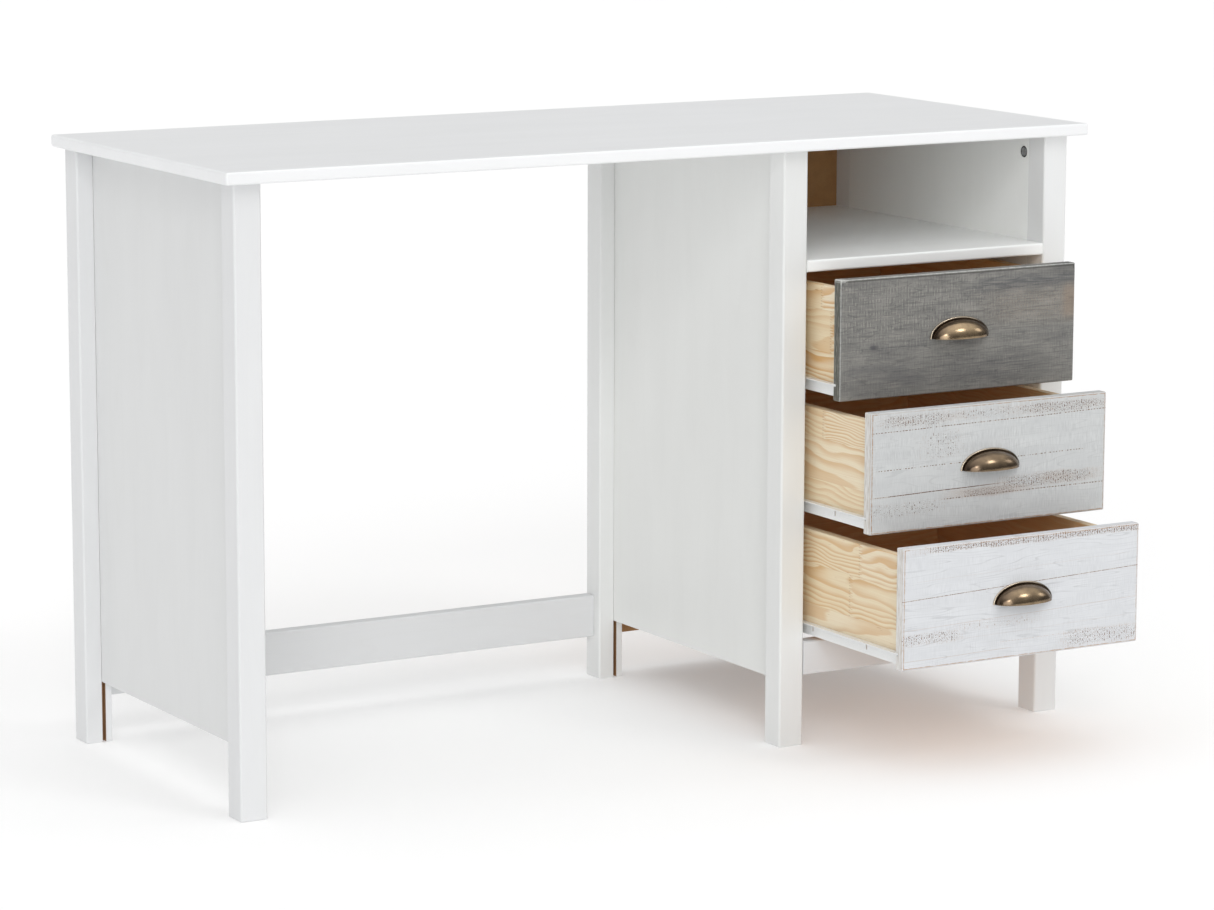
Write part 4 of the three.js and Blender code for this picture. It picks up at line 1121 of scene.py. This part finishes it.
bm = bmesh.new()
bmesh.ops.create_grid(bm, x_segments=2, y_segments=2, size=60.0)
floor = new_object("floor", bm)
floor.location.z = -0.0004
floor.data.materials.append(floor_material())

world = bpy.data.worlds.new("studio")
bpy.context.scene.world = world
world.use_nodes = True
wt = world.node_tree
wt.nodes.clear()
w_out = wt.nodes.new("ShaderNodeOutputWorld")
w_bg = wt.nodes.new("ShaderNodeBackground")
w_tc = wt.nodes.new("ShaderNodeTexCoord")
w_sep = wt.nodes.new("ShaderNodeSeparateXYZ")
w_ramp = wt.nodes.new("ShaderNodeValToRGB")
wt.links.new(w_tc.outputs["Generated"], w_sep.inputs[0])
wt.links.new(w_sep.outputs[2], w_ramp.inputs[0])
wt.links.new(w_ramp.outputs[0], w_bg.inputs["Color"])
wt.links.new(w_bg.outputs[0], w_out.inputs[0])
w_ramp.color_ramp.elements.new(0.5)
for e, (q, c) in zip(w_ramp.color_ramp.elements, ((0.0, (0.06, 0.06, 0.06, 1)), (0.5, (0.46, 0.46, 0.46, 1)), (1.0, (1.43, 1.43, 1.43, 1)))):
    e.position, e.color = q, c
w_bg.inputs["Strength"].default_value = WORLD


def sun(name, direction, strength, angle, color=(1, 1, 1)):
    l = bpy.data.lights.new(name, "SUN")
    l.energy = strength
    l.angle = math.radians(angle)
    l.color = color
    o = bpy.data.objects.new(name, l)
    bpy.context.scene.collection.objects.link(o)
    o.rotation_euler = Vector(direction).to_track_quat("Z", "Y").to_euler()
    return o


sun("key", (-0.58, -0.79, 0.19), KEY, 46.0, (1.0, 0.998, 0.992))
sun("softbox_right", (0.33, -0.61, 0.69), 0.30, 15.0)
sun("softbox_left", (-0.36, -0.70, 0.50), 0.26, 13.0)
sun("softbox_side", (0.84, -0.30, 0.43), 0.10, 15.0)

shift = box("tabletop")[0][1] + 250.0
cam_data = bpy.data.cameras.new("camera")
cam = bpy.data.objects.new("camera", cam_data)
bpy.context.scene.collection.objects.link(cam)
bpy.context.scene.camera = cam
C = Vector((-2.6915, -4.6794 + shift * MM, 1.2882))
yaw, pitch, roll = math.radians(30.301), math.radians(-9.872), math.radians(0.14)
fwd = Vector((math.sin(yaw) * math.cos(pitch), math.cos(yaw) * math.cos(pitch), math.sin(pitch)))
right = Vector((math.cos(yaw), -math.sin(yaw), 0))
up = right.cross(fwd)
r2 = math.cos(roll) * right + math.sin(roll) * up
u2 = -math.sin(roll) * right + math.cos(roll) * up
cam.matrix_world = Matrix(((r2.x, u2.x, -fwd.x, C.x), (r2.y, u2.y, -fwd.y, C.y), (r2.z, u2.z, -fwd.z, C.z), (0, 0, 0, 1)))
cam_data.sensor_width = 36.0
cam_data.lens = 4354.7 / 1214 * 36
cam_data.clip_end = 200.0
cam_data.dof.use_dof = False

sc = bpy.context.scene
sc.view_settings.view_transform = "Standard"
sc.view_settings.look = "None"
sc.view_settings.exposure = 0.0
sc.cycles.max_bounces = 14
sc.cycles.diffuse_bounces = 10
